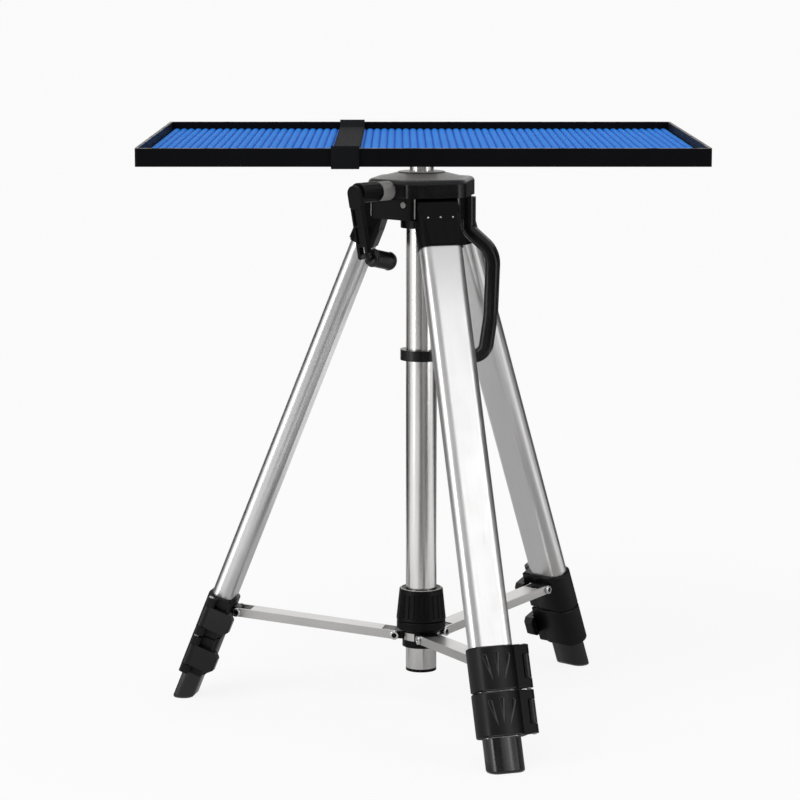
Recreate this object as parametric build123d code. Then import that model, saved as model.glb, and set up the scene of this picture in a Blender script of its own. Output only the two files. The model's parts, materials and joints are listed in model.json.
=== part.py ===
"""Portable tripod stand with a railed tray, a geared centre column and folding braced legs.

Millimetres, +Z up. Every piece is built round the column axis, with one leg along +X, turned to
its azimuth and moved so that the origin lies under the middle of the whole stand, on the floor.
"""

import math
import os

from build123d import *

# Tray, mat and strap
TRAY_WIDTH = 450.0
TRAY_DEPTH = 360.0
TRAY_HEIGHT = 14.5
TRAY_WALL = 2.5
TRAY_FLOOR = 2.0
TRAY_BOTTOM_Z = 480.0
TRAY_CORNER = 2.0
MAT_THICKNESS = 6.5
MAT_SIDE_GAP = 0.6
STRAP_WIDTH = 22.0
STRAP_THICKNESS = 1.6
STRAP_X = -61.0
STRAP_SLOPE = 12.0
SOFT_GAP = 0.3

# Socket under the tray
SOCKET_FLANGE_RADIUS = 35.0
SOCKET_FLANGE_THICKNESS = 3.0
SOCKET_BOSS_RADIUS = 15.0
SOCKET_BOSS_HEIGHT = 7.0

# Centre column and the tube that guides it
COLUMN_RADIUS = 10.2
COLUMN_BOTTOM_Z = 70.0
TUBE_RADIUS = 13.2
TUBE_BOTTOM_Z = 36.0
TUBE_TOP_Z = 440.0
PLUG_THICKNESS = 2.5
PLUG_INSERT = 8.0
RUNNING_FIT = 0.08
PRESS_FIT = 0.03
FUSE_DEPTH = 0.5

# Spider that carries the legs
LEG_COUNT = 3
FRONT_AZIMUTH = -71.8
HINGE_RADIUS = 37.0
HINGE_Z = 434.0
SPLAY = 21.9
SPIDER_IN_RADIUS = 39.0
SPIDER_CORNER = 5.0
SPIDER_BOTTOM_Z = 425.0
SLOT_IN_RADIUS = 22.0
SOCKET_RADIUS = 17.8
SOCKET_BOTTOM_Z = 416.0
CAP_IN_RADIUS = 42.0
CAP_CORNER = 12.0
CAP_BOTTOM_Z = 443.5
CAP_HEIGHT = 15.0
CAP_EDGE = 4.0
DOME_MARGIN = 0.8
DOME_TOP_RADIUS = 21.0
DOME_RISE = 4.0
HANDLE_SEAT = 5.0

# Crank that lifts the column
CRANK_Z = 449.5
CRANK_LEAN = 12.0
BOSS_RADIUS = 8.0
BOSS_END = 56.0
SHAFT_RADIUS = 3.5
SHAFT_DEPTH = 11.0
HUB_RADIUS = 8.5
HUB_START = 56.6
HUB_END = 80.0
HUB_GROOVES = 12
HUB_GROOVE_RADIUS = 0.9
HUB_GROOVE_MARGIN = 3.0
HUB_EDGE = 0.8
LUG_THICKNESS = 5.0
LUG_WIDTH = 13.0
ARM_LENGTH = 52.0
ARM_TOP = 11.0
ARM_WIDTH = 11.4
ARM_POCKET = 1.4
ARM_BORDER = 2.0
FORK_SLOT = 5.6
FORK_DEPTH = 7.5
GRIP_TAB = 5.0
GRIP_RADIUS = 7.4
GRIP_LENGTH = 32.0
GRIP_NECK = 5.5
GRIP_EDGE = 2.5
GRIP_DROP = 13.0
PIN_RADIUS = 1.6
PIN_FIT = 0.1

# Carry handle and its ring on the tube
HANDLE_THICKNESS = 15.0
HANDLE_DEPTH = 11.6
HANDLE_EDGE = 4.5
HANDLE_REACH = 61.5
HANDLE_ROOT_GAP = 1.0
HANDLE_NECK_Z = 415.0
HANDLE_SHOULDER_Z = 396.0
HANDLE_WAIST_Z = 342.0
HANDLE_TAPER = 2.0
HANDLE_TOE = 7.0
HANDLE_BENDS = [10.0, 22.0, 80.0, 11.0]
RING_RADIUS = 18.0
RING_BOTTOM_Z = 303.5
RING_HEIGHT = 9.0

# Brace hub, its twist lock and the arms
HUB_PIVOT_RADIUS = 21.5
HUB_PIVOT_Z = 64.5
HUB_SOCKET_RADIUS = 16.2
HUB_SOCKET_BOTTOM_Z = 55.0
FLANGE_RADIUS = 21.0
FLANGE_BOTTOM_Z = 70.5
FLANGE_TOP_Z = 78.0
NECK_RADIUS = 15.6
NECK_TOP_Z = 90.0
KNOB_GAP = 0.3
KNOB_TOP_Z = 105.5
KNOB_RADIUS = 21.4
KNOB_TOP_RADIUS = 18.6
KNOB_GROOVES = 24
KNOB_GROOVE_RADIUS = 1.3
KNOB_GROOVE_MARGIN = 3.5
ROUND_EDGE = 1.0
CHANNEL_WIDTH = 18.0
CHANNEL_HEIGHT = 7.4
CHANNEL_WALL = 1.4
CHANNEL_CUTBACK = 12.0
TAB_SIDE_GAP = 0.4
RIVET_RADIUS = 2.0
RIVET_HEAD_RADIUS = 3.2
RIVET_HEAD = 1.2

# Leg tubes, each sliding in the one above; lengths run down the leg from the hinge
TUBE_DEPTH = 18.5
TUBE_WIDTH = 36.0
TUBE_CORNER = 8.0
TUBE_WALL = 1.3
TUBE_FIT = 0.35
TUBE_END_GAP = 2.0
UPPER_TUBE_TOP = 26.0
MIDDLE_TUBE_TOP = 56.0
LOWER_TUBE_TOP = 68.0
LOWER_TUBE_END = 456.0
BRACKET_WIDTH = 35.4
BRACKET_SIDE_GAP = 0.4
BRACKET_BOSS_RADIUS = 8.5
BRACKET_NECK_END = 18.0
BRACKET_SHELL = 1.2
BRACKET_END = 34.0
CLAMP_TOP = 368.0
CLAMP_LENGTH = 36.0
CLAMP_GAP = 0.7
CLAMP_DEPTH = 24.0
CLAMP_WIDTH = 41.0
CLAMP_CORNER = 11.4
CLAMP_EDGE = 1.5
CLAMP_GRIP = 10.0
CLAMP_FIT = 0.3
LEVER_SEAT = 22.8
EAR_HEIGHT = 8.0
EAR_REACH = 30.0
EAR_ROOT = 16.0
EAR_INSET = 0.5
EAR_MARGIN = 2.0
EAR_CORNER = 3.0
LEVER_PIN_X = 5.5
LEVER_PIN_Y = 26.5
LEVER_BARREL = 3.4
LEVER_PLATE = 5.6
LEVER_GAP = 0.5
LEVER_TAB_START = -13.0
LEVER_TAB_END = -19.5
LEVER_TAB_EDGE = 4.0
LEVER_CORNER = 1.5
LEVER_TAB_LOW = 20.0
FLUTE_RADIUS = 2.6
FLUTE_TIP = 0.3
FLUTE_DEPTH = 1.2
FLUTE_LENGTH = 19.0
FLUTE_PITCH = 10.0
FLUTE_TIP_PITCH = 5.2
FLUTE_RISE = 2.0
LUG_DROP = 9.0
LUG_REACH = 4.6
FOOT_GAP = 0.7
FOOT_DEPTH = 16.8
FOOT_WIDTH = 32.0
FOOT_CORNER = 8.1
FOOT_EDGE = 1.2


def ring_of(outer: float, inner: float, bottom: float, top: float) -> Part:
    """Upright pipe round the column axis."""
    pipe = Cylinder(outer, top - bottom) - Cylinder(inner, 2 * (top - bottom))
    return Pos(0, 0, (bottom + top) / 2) * pipe


def across(radius: float, length: float) -> Part:
    """Cylinder along Y, centred on the origin."""
    return Rot(90, 0, 0) * Cylinder(radius, length)


def block(x_low: float, x_high: float, y_half: float, z_low: float, z_high: float) -> Part:
    """Box between two X and two Z limits, centred in Y."""
    centre = Pos((x_low + x_high) / 2, 0, (z_low + z_high) / 2)
    return centre * Box(x_high - x_low, 2 * y_half, z_high - z_low)


def down_leg(profile: Sketch, start: float, end: float) -> Part:
    """Profile carried down the leg's own axis from start to end."""
    return Pos(0, 0, -end) * extrude(profile, end - start)


def upright_edges(shape: Part) -> ShapeList:
    """Edges that run along Z."""
    return shape.edges().filter_by(Axis.Z)


# Leg frame: X out of the leg's front, Y along its width, -Z down the leg
LEG_FRAME = Pos(HINGE_RADIUS, 0, HINGE_Z) * Rot(0, -SPLAY, 0)
LEG_AZIMUTHS = [FRONT_AZIMUTH + 360 / LEG_COUNT * n for n in range(LEG_COUNT)]
HALF_TURN = 180 / LEG_COUNT
HANDLE_AZIMUTH = FRONT_AZIMUTH + HALF_TURN
CRANK_AZIMUTH = FRONT_AZIMUTH - HALF_TURN
CAP_TOP_Z = CAP_BOTTOM_Z + CAP_HEIGHT
DOME_TOP_Z = CAP_TOP_Z + DOME_RISE
DOME_RADIUS = CAP_IN_RADIUS - CAP_EDGE - DOME_MARGIN
CLAMP_SPACING = CLAMP_LENGTH + CLAMP_GAP
FOOT_TOP = CLAMP_TOP + CLAMP_SPACING + CLAMP_LENGTH + FOOT_GAP
UPPER_TUBE_END = CLAMP_TOP + CLAMP_LENGTH - CLAMP_GRIP - TUBE_END_GAP
MIDDLE_TUBE_END = UPPER_TUBE_END + CLAMP_SPACING
LUG_PIVOT_S = CLAMP_TOP + LUG_DROP
LUG_PIVOT_X = -(CLAMP_DEPTH / 2 + LUG_REACH)
TAB_HALF = CHANNEL_WIDTH / 2 - CHANNEL_WALL - TAB_SIDE_GAP
COLUMN_BORE = COLUMN_RADIUS + RUNNING_FIT

parts = {}

# Tray pan with its rim, mat and strap
pan = Pos(0, 0, TRAY_HEIGHT / 2) * Box(TRAY_WIDTH, TRAY_DEPTH, TRAY_HEIGHT)
pan = fillet(upright_edges(pan), TRAY_CORNER)
hollow = Box(TRAY_WIDTH - 2 * TRAY_WALL, TRAY_DEPTH - 2 * TRAY_WALL, TRAY_HEIGHT)
pan -= Pos(0, 0, TRAY_FLOOR + TRAY_HEIGHT / 2) * hollow
parts["tray_pan"] = Pos(0, 0, TRAY_BOTTOM_Z) * pan

mat_width = TRAY_WIDTH - 2 * (TRAY_WALL + MAT_SIDE_GAP)
mat_depth = TRAY_DEPTH - 2 * (TRAY_WALL + MAT_SIDE_GAP)
mat_bottom = TRAY_BOTTOM_Z + TRAY_FLOOR
mat_top = mat_bottom + MAT_THICKNESS
parts["tray_mat"] = Pos(0, 0, (mat_bottom + mat_top) / 2) * Box(mat_width, mat_depth, MAT_THICKNESS)

strap_y = TRAY_DEPTH / 2 + SOFT_GAP
rim_y = TRAY_DEPTH / 2 - TRAY_WALL + SOFT_GAP
strap_low = TRAY_BOTTOM_Z - SOFT_GAP
strap_rim = TRAY_BOTTOM_Z + TRAY_HEIGHT + SOFT_GAP
strap_bed = mat_top + SOFT_GAP
half_loop = [(strap_y, strap_low), (strap_y, strap_rim), (rim_y, strap_rim)]
half_loop.append((rim_y - STRAP_SLOPE, strap_bed))
loop = half_loop + [(-y, z) for y, z in reversed(half_loop)]
inside = Plane.YZ * make_face(Polyline(*loop, close=True))
band = offset(inside, STRAP_THICKNESS) - inside
strap = extrude(band, STRAP_WIDTH / 2, both=True)
parts["tray_strap"] = Pos(STRAP_X, 0, 0) * strap

# Socket under the tray, on the top of the column
flange_z = TRAY_BOTTOM_Z - SOCKET_FLANGE_THICKNESS
boss_z = flange_z - SOCKET_BOSS_HEIGHT
socket_bore = COLUMN_RADIUS + PRESS_FIT
socket = ring_of(SOCKET_FLANGE_RADIUS, socket_bore, flange_z, TRAY_BOTTOM_Z)
parts["tray_socket"] = socket + ring_of(SOCKET_BOSS_RADIUS, socket_bore, boss_z, flange_z)
column_length = TRAY_BOTTOM_Z - COLUMN_BOTTOM_Z
column = Cylinder(COLUMN_RADIUS, column_length)
parts["centre_column"] = Pos(0, 0, COLUMN_BOTTOM_Z + column_length / 2) * column

# Guide tube and the plug in its lower end
parts["centre_tube"] = ring_of(TUBE_RADIUS, COLUMN_BORE, TUBE_BOTTOM_Z, TUBE_TOP_Z)
plug = Pos(0, 0, TUBE_BOTTOM_Z - PLUG_THICKNESS / 2) * Cylinder(TUBE_RADIUS, PLUG_THICKNESS)
plug += Pos(0, 0, TUBE_BOTTOM_Z + PLUG_INSERT / 2) * Cylinder(COLUMN_RADIUS, PLUG_INSERT)
parts["tube_plug"] = plug


def hexagon(in_radius: float, corner: float, low: float, high: float) -> Part:
    """Six-sided prism with a flat over each leg and rounded corners."""
    outline = RegularPolygon(in_radius, 6, major_radius=False, rotation=30)
    prism = Pos(0, 0, low) * extrude(outline, high - low)
    return fillet(upright_edges(prism), corner)


# Spider body: three pillars between the leg slots, on the tube socket
body = hexagon(SPIDER_IN_RADIUS, SPIDER_CORNER, SPIDER_BOTTOM_Z, CAP_BOTTOM_Z)
slot_half = BRACKET_WIDTH / 2 + BRACKET_SIDE_GAP
for n in range(LEG_COUNT):
    slot = block(SLOT_IN_RADIUS, 2 * CAP_IN_RADIUS, slot_half, SOCKET_BOTTOM_Z, CAP_BOTTOM_Z)
    body -= Rot(0, 0, 360 / LEG_COUNT * n) * slot
seat_half = HANDLE_THICKNESS / 2 + SOFT_GAP
seat_in = SPIDER_IN_RADIUS - HANDLE_SEAT
seat = block(seat_in, 2 * CAP_IN_RADIUS, seat_half, SOCKET_BOTTOM_Z, CAP_BOTTOM_Z)
body -= Rot(0, 0, HALF_TURN) * seat
body += ring_of(SOCKET_RADIUS, TUBE_RADIUS, SOCKET_BOTTOM_Z, SPIDER_BOTTOM_Z + FUSE_DEPTH)
body -= Pos(0, 0, TUBE_TOP_Z / 2) * Cylinder(TUBE_RADIUS + PRESS_FIT, TUBE_TOP_Z)
body -= Pos(0, 0, CAP_BOTTOM_Z) * Cylinder(COLUMN_BORE, 2 * CAP_BOTTOM_Z)
parts["spider_body"] = Rot(0, 0, FRONT_AZIMUTH) * body

cap = hexagon(CAP_IN_RADIUS, CAP_CORNER, CAP_BOTTOM_Z, CAP_TOP_Z)
cap = fillet(cap.faces().sort_by(Axis.Z)[-1].edges(), CAP_EDGE)
cap -= Pos(0, 0, CAP_TOP_Z) * Cylinder(COLUMN_BORE, 4 * (CAP_TOP_Z - CAP_BOTTOM_Z))
parts["spider_cap"] = Rot(0, 0, FRONT_AZIMUTH) * cap
dome = Cone(DOME_RADIUS, DOME_TOP_RADIUS, DOME_TOP_Z - CAP_TOP_Z)
dome = Pos(0, 0, (CAP_TOP_Z + DOME_TOP_Z) / 2) * dome
parts["spider_dome"] = dome - Pos(0, 0, CAP_TOP_Z) * Cylinder(COLUMN_BORE, 4 * DOME_TOP_RADIUS)

# Crank, built with its shaft along +X and the arm straight down
along_x = Pos(0, 0, CRANK_Z) * Rot(0, 90, 0)
boss = Pos(0, 0, (CAP_IN_RADIUS + BOSS_END) / 2) * Cylinder(BOSS_RADIUS, BOSS_END - CAP_IN_RADIUS)
bore_length = BOSS_END - CAP_IN_RADIUS - 1
boss -= Pos(0, 0, BOSS_END - bore_length / 2) * Cylinder(SHAFT_RADIUS + RUNNING_FIT, bore_length)
parts["crank_boss"] = Rot(0, 0, CRANK_AZIMUTH) * along_x * boss

hub = Pos(0, 0, (HUB_START + HUB_END) / 2) * Cylinder(HUB_RADIUS, HUB_END - HUB_START)
hub = fillet(hub.edges().filter_by(GeomType.CIRCLE), HUB_EDGE)
groove_centre = HUB_RADIUS + HUB_GROOVE_RADIUS / 2
groove_length = HUB_END - HUB_START - 2 * HUB_GROOVE_MARGIN
for n in range(HUB_GROOVES):
    groove = Cylinder(HUB_GROOVE_RADIUS, groove_length)
    groove = Pos(groove_centre, 0, (HUB_START + HUB_END) / 2) * groove
    hub -= Rot(0, 0, 360 / HUB_GROOVES * n) * groove
hub += Pos(0, 0, HUB_START - SHAFT_DEPTH / 2 + 1) * Cylinder(SHAFT_RADIUS, SHAFT_DEPTH + 2)
hub = along_x * hub
lug_end = HUB_END + LUG_THICKNESS
lug = block(HUB_END - FUSE_DEPTH, lug_end, LUG_WIDTH / 2, -ARM_TOP, 0)
lug_disc = Rot(0, 90, 0) * Cylinder(LUG_WIDTH / 2, LUG_THICKNESS + FUSE_DEPTH)
lug += Pos((HUB_END + lug_end - FUSE_DEPTH) / 2, 0, 0) * lug_disc
hub += Pos(0, 0, CRANK_Z) * lug

arm = block(HUB_END, lug_end, ARM_WIDTH / 2, -ARM_LENGTH, -ARM_TOP)
arm_mid = (HUB_END + lug_end) / 2
arm += Pos(arm_mid, 0, -ARM_LENGTH) * across(LUG_THICKNESS / 2, ARM_WIDTH)
fork_top = -ARM_LENGTH + FORK_DEPTH
arm -= block(HUB_END - 1, lug_end + 1, FORK_SLOT / 2, -ARM_LENGTH - ARM_WIDTH, fork_top)
pocket_bottom = fork_top + 1.5 * ARM_BORDER
pocket_top = -ARM_TOP - ARM_BORDER
pocket_split = (pocket_bottom + pocket_top) / 2
pocket_half = ARM_WIDTH / 2 - ARM_BORDER
arm -= block(lug_end - ARM_POCKET, lug_end + 1, pocket_half, pocket_bottom, pocket_split - ARM_BORDER / 2)
arm -= block(lug_end - ARM_POCKET, lug_end + 1, pocket_half, pocket_split + ARM_BORDER / 2, pocket_top)
arm += Pos(arm_mid, 0, -ARM_LENGTH) * across(PIN_RADIUS, ARM_WIDTH)
arm = Pos(0, 0, CRANK_Z) * arm

grip = block(-GRIP_NECK - FUSE_DEPTH, 0, GRIP_TAB / 2, -LUG_THICKNESS / 2, LUG_THICKNESS / 2)
grip += across(LUG_THICKNESS / 2, GRIP_TAB)
grip -= across(PIN_RADIUS + PIN_FIT, 2 * GRIP_TAB)
barrel = Cylinder(GRIP_RADIUS, GRIP_LENGTH - GRIP_NECK)
barrel = fillet(barrel.edges().filter_by(GeomType.CIRCLE), GRIP_EDGE)
grip += Pos(-(GRIP_NECK + GRIP_LENGTH) / 2, 0, 0) * Rot(0, 90, 0) * barrel
grip = Pos(arm_mid, 0, CRANK_Z - ARM_LENGTH) * Rot(0, -GRIP_DROP, 0) * grip

crank_turn = Rot(0, 0, CRANK_AZIMUTH) * Pos(0, 0, CRANK_Z) * Rot(CRANK_LEAN, 0, 0)
crank_turn *= Pos(0, 0, -CRANK_Z)
parts["crank_hub"] = crank_turn * hub
parts["crank_arm"] = crank_turn * arm
parts["crank_grip"] = crank_turn * grip

# Carry handle between the front and right legs, with a ring round the tube
ring_top = RING_BOTTOM_Z + RING_HEIGHT
ring_middle = RING_BOTTOM_Z + RING_HEIGHT / 2
root_centre = SPIDER_IN_RADIUS - HANDLE_SEAT + HANDLE_DEPTH / 2 + SOFT_GAP
toe = HANDLE_REACH - HANDLE_TOE
path_points = [
    (root_centre, 0, CAP_BOTTOM_Z - HANDLE_ROOT_GAP),
    (root_centre, 0, HANDLE_NECK_Z),
    (HANDLE_REACH, 0, HANDLE_SHOULDER_Z),
    (HANDLE_REACH - HANDLE_TAPER, 0, HANDLE_WAIST_Z),
    (toe, 0, ring_middle),
    (TUBE_RADIUS + 2, 0, ring_middle),
]
handle_path = FilletPolyline(*path_points, radius=HANDLE_BENDS)
section = Plane(origin=handle_path @ 0, x_dir=(0, 1, 0), z_dir=handle_path % 0)
section *= RectangleRounded(HANDLE_THICKNESS, HANDLE_DEPTH, HANDLE_EDGE)
handle = sweep(section, handle_path)
handle += ring_of(RING_RADIUS, TUBE_RADIUS, RING_BOTTOM_Z, ring_top)
handle -= Pos(0, 0, RING_BOTTOM_Z) * Cylinder(TUBE_RADIUS + PRESS_FIT, 4 * RING_HEIGHT)
parts["carry_handle"] = Rot(0, 0, HANDLE_AZIMUTH) * handle


def rivet(radius: float) -> Part:
    """Pin along Y through a brace arm's two cheeks, with a head outside each."""
    half = CHANNEL_WIDTH / 2 + CLAMP_FIT
    pin = across(radius, 2 * (half + RIVET_HEAD))
    for side in (-1, 1):
        head = across(RIVET_HEAD_RADIUS, RIVET_HEAD)
        pin += Pos(0, side * (half + RIVET_HEAD / 2), 0) * head
    return pin


# Brace hub with three tabs, and the twist lock on its neck
tube_bore = TUBE_RADIUS + RUNNING_FIT
hub_body = ring_of(HUB_SOCKET_RADIUS, tube_bore, HUB_SOCKET_BOTTOM_Z, FLANGE_BOTTOM_Z)
flange = ring_of(FLANGE_RADIUS, tube_bore, FLANGE_BOTTOM_Z, FLANGE_TOP_Z)
flange = fillet(flange.edges().filter_by(GeomType.CIRCLE).sort_by(SortBy.RADIUS)[-2:], ROUND_EDGE)
hub_body += flange
hub_body += ring_of(NECK_RADIUS, tube_bore, FLANGE_TOP_Z, NECK_TOP_Z)
tab_height = CHANNEL_HEIGHT / 2 - TAB_SIDE_GAP
for n in range(LEG_COUNT):
    tab = block(TUBE_RADIUS + 1, HUB_PIVOT_RADIUS, TAB_HALF, -tab_height, tab_height)
    tab += Pos(HUB_PIVOT_RADIUS, 0, 0) * across(tab_height, 2 * TAB_HALF)
    tab += Pos(HUB_PIVOT_RADIUS, 0, 0) * rivet(RIVET_RADIUS)
    hub_body += Rot(0, 0, LEG_AZIMUTHS[n]) * Pos(0, 0, HUB_PIVOT_Z) * tab
parts["brace_hub"] = hub_body

knob_low = FLANGE_TOP_Z + KNOB_GAP
knob_height = KNOB_TOP_Z - knob_low
knob = Pos(0, 0, knob_low + knob_height / 2) * Cone(KNOB_RADIUS, KNOB_TOP_RADIUS, knob_height)
knob = fillet(knob.edges().filter_by(GeomType.CIRCLE), ROUND_EDGE)
knob_taper = math.degrees(math.atan2(KNOB_RADIUS - KNOB_TOP_RADIUS, knob_height))
knob_middle = (KNOB_RADIUS + KNOB_TOP_RADIUS) / 2 + KNOB_GROOVE_RADIUS / 3
for n in range(KNOB_GROOVES):
    groove = Cylinder(KNOB_GROOVE_RADIUS, knob_height - 2 * KNOB_GROOVE_MARGIN)
    groove = Rot(0, -knob_taper, 0) * groove
    groove = Pos(knob_middle, 0, knob_low + knob_height / 2 - 0.5) * groove
    knob -= Rot(0, 0, 360 / KNOB_GROOVES * n) * groove
neck_room = 2 * (NECK_TOP_Z - knob_low + KNOB_GAP)
knob -= Pos(0, 0, knob_low) * Cylinder(NECK_RADIUS + KNOB_GAP, neck_room)
knob -= Pos(0, 0, knob_low) * Cylinder(TUBE_RADIUS + KNOB_GAP, 4 * knob_height)
parts["brace_knob"] = knob

# Brace arm: a channel, open below, between the hub's pivot and the leg's
leg_point = LEG_FRAME * Pos(LUG_PIVOT_X, 0, -LUG_PIVOT_S)
LUG_RADIUS = leg_point.position.X
LUG_Z = leg_point.position.Z
ARM_SPAN = math.hypot(LUG_RADIUS - HUB_PIVOT_RADIUS, LUG_Z - HUB_PIVOT_Z)
ARM_RISE = math.degrees(math.atan2(LUG_Z - HUB_PIVOT_Z, LUG_RADIUS - HUB_PIVOT_RADIUS))
cheek_y = (CHANNEL_WIDTH - CHANNEL_WALL) / 2
cheek = Plane.XZ * Pos(ARM_SPAN / 2, 0) * SlotCenterToCenter(ARM_SPAN, CHANNEL_HEIGHT)
cheek = extrude(cheek, CHANNEL_WALL / 2, both=True)
channel_top = CHANNEL_HEIGHT / 2
channel = block(
    CHANNEL_CUTBACK,
    ARM_SPAN - CHANNEL_CUTBACK,
    CHANNEL_WIDTH / 2,
    channel_top - CHANNEL_WALL,
    channel_top,
)
for side in (-1, 1):
    channel += Pos(0, side * cheek_y, 0) * cheek
for end in (0, ARM_SPAN):
    channel -= Pos(end, 0, 0) * across(RIVET_RADIUS + PIN_FIT, 2 * CHANNEL_WIDTH)
channel = Pos(HUB_PIVOT_RADIUS, 0, HUB_PIVOT_Z) * Rot(0, -ARM_RISE, 0) * channel

# Leg profiles, from the outer tube in
profiles = []
for n in range(3):
    shrink = 2 * n * (TUBE_WALL + TUBE_FIT)
    profiles.append((TUBE_DEPTH - shrink, TUBE_WIDTH - shrink, TUBE_CORNER - shrink / 2))


def oblong(size: tuple[float, float, float], grow: float) -> Sketch:
    """Rounded leg profile, grown all round."""
    depth, width, corner = size
    return RectangleRounded(depth + 2 * grow, width + 2 * grow, corner + grow)


def leg_pipe(size: tuple[float, float, float], start: float, end: float) -> Part:
    """Hollow leg tube."""
    return down_leg(oblong(size, 0) - oblong(size, -TUBE_WALL), start, end)


def leg_bracket() -> Part:
    """Moulded top of a leg: a hinge boss between the pillars and a sleeve on the tube."""
    outer = oblong(profiles[0], BRACKET_SHELL)
    sleeve = down_leg(outer, BRACKET_NECK_END, BRACKET_END)
    front = TUBE_DEPTH / 2 + BRACKET_SHELL
    bracket = across(BRACKET_BOSS_RADIUS, BRACKET_WIDTH)
    neck = Plane.XZ * make_face(
        Polyline(
            (-BRACKET_BOSS_RADIUS, 0),
            (BRACKET_BOSS_RADIUS, 0),
            (front, -BRACKET_NECK_END - 4),
            (-front, -BRACKET_NECK_END - 4),
            close=True,
        )
    )
    neck = extrude(neck, BRACKET_WIDTH / 2, both=True)
    whole = down_leg(outer, -BRACKET_BOSS_RADIUS, BRACKET_END)
    bracket += (neck & whole) + sleeve
    return bracket - down_leg(oblong(profiles[0], PRESS_FIT), UPPER_TUBE_TOP, BRACKET_END + 1)


def flute(side: int) -> Part:
    """Teardrop scoop in a clamp's front, round and deep above, pointed below."""
    rise = 0 if side else FLUTE_RISE
    surface = CLAMP_DEPTH / 2
    top = Vector(surface + FLUTE_RADIUS - FLUTE_DEPTH, side * FLUTE_PITCH, rise + FLUTE_LENGTH / 2)
    tip = Vector(surface, side * FLUTE_TIP_PITCH, rise - FLUTE_LENGTH / 2)
    way = top - tip
    seat = Plane(origin=(top + tip) / 2, z_dir=way)
    scoop = seat * Cone(FLUTE_TIP, FLUTE_RADIUS, way.length)
    return scoop + Pos(top) * Sphere(FLUTE_RADIUS)


def clamp(size: tuple[float, float, float], inner: tuple[float, float, float], top: float) -> Part:
    """Collar on the end of one tube that grips the next, with ears for its lever."""
    bottom = top + CLAMP_LENGTH
    outline = RectangleRounded(CLAMP_DEPTH, CLAMP_WIDTH, CLAMP_CORNER)
    seat_half = CLAMP_DEPTH / 2 - CLAMP_EDGE
    seat = Pos(-CLAMP_EDGE / 2, LEVER_SEAT / 2) * Rectangle(2 * seat_half - CLAMP_EDGE, LEVER_SEAT)
    shell = down_leg(outline + seat, top, bottom)
    shell = fillet(shell.faces().sort_by(Axis.Z)[-1].edges(), CLAMP_EDGE)
    shell = fillet(shell.faces().sort_by(Axis.Z)[0].edges(), CLAMP_EDGE)
    ear_low = LEVER_PIN_X - LEVER_BARREL - EAR_MARGIN
    ear_high = LEVER_PIN_X + LEVER_BARREL
    ear = Rectangle(ear_high - ear_low, EAR_REACH - EAR_ROOT)
    ear = Pos((ear_low + ear_high) / 2, (EAR_REACH + EAR_ROOT) / 2) * ear
    ear = fillet(ear.vertices().group_by(Axis.Y)[-1], EAR_CORNER)
    shell += down_leg(ear, top + EAR_INSET, top + EAR_HEIGHT)
    shell += down_leg(ear, bottom - EAR_HEIGHT, bottom - EAR_INSET)
    pin = Cylinder(PIN_RADIUS, CLAMP_LENGTH - EAR_HEIGHT)
    shell += Pos(LEVER_PIN_X, LEVER_PIN_Y, -(top + bottom) / 2) * pin
    middle = Pos(0, 0, -(top + bottom) / 2)
    for side in (-1, 0, 1):
        shell -= middle * flute(side)
    split = bottom - CLAMP_GRIP
    shell -= down_leg(oblong(size, PRESS_FIT), top - 1, split)
    return shell - down_leg(oblong(inner, CLAMP_FIT), split - 1, bottom + 1)


def lever(top: float) -> Part:
    """Flip lever, closed along the clamp's side with its finger tab behind the leg."""
    high = top + EAR_HEIGHT + LEVER_GAP
    low = top + CLAMP_LENGTH - EAR_HEIGHT - LEVER_GAP
    plate_low = LEVER_PIN_Y - LEVER_BARREL
    plate = Pos((LEVER_PIN_X + LEVER_TAB_END) / 2, plate_low + LEVER_PLATE / 2)
    plate *= Rectangle(LEVER_PIN_X - LEVER_TAB_END, LEVER_PLATE)
    tab_centre = ((LEVER_TAB_START + LEVER_TAB_END) / 2, (LEVER_TAB_LOW + plate_low) / 2 + 1)
    tab = Rectangle(LEVER_TAB_START - LEVER_TAB_END, plate_low - LEVER_TAB_LOW + 2)
    outline = plate + Pos(*tab_centre) * tab + Pos(LEVER_PIN_X, LEVER_PIN_Y) * Circle(LEVER_BARREL)
    shape = down_leg(outline, high, low)
    shape = chamfer(shape.faces().sort_by(Axis.X)[0].edges().filter_by(Axis.Y), LEVER_TAB_EDGE)
    shape = fillet(upright_edges(shape).group_by(Axis.X)[0], LEVER_CORNER)
    bore = Cylinder(PIN_RADIUS + PIN_FIT, 2 * CLAMP_LENGTH)
    return shape - Pos(LEVER_PIN_X, LEVER_PIN_Y, -(high + low) / 2) * bore


def brace_lug() -> Part:
    """Tab on the back of the upper clamp with the brace arm's rivet."""
    tab = block(LUG_PIVOT_X, -TUBE_DEPTH / 2 - 1, TAB_HALF, -tab_height, tab_height)
    tab += Pos(LUG_PIVOT_X, 0, 0) * (across(tab_height, 2 * TAB_HALF) + rivet(RIVET_RADIUS))
    return Pos(0, 0, -LUG_PIVOT_S) * tab


def foot() -> Part:
    """Rubber shoe on the lowest tube, its sole level with the floor."""
    shoe_end = HINGE_Z / math.cos(math.radians(SPLAY)) + FOOT_DEPTH
    shoe = down_leg(RectangleRounded(FOOT_DEPTH, FOOT_WIDTH, FOOT_CORNER), FOOT_TOP, shoe_end)
    shoe -= down_leg(oblong(profiles[2], PRESS_FIT), FOOT_TOP - 1, LOWER_TUBE_END)
    shoe = LEG_FRAME * shoe
    shoe -= Pos(HINGE_RADIUS, 0, -HINGE_Z / 2) * Box(4 * HINGE_Z, HINGE_Z, HINGE_Z)
    return fillet(shoe.faces().sort_by(Axis.Z)[0].edges(), FOOT_EDGE)


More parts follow.
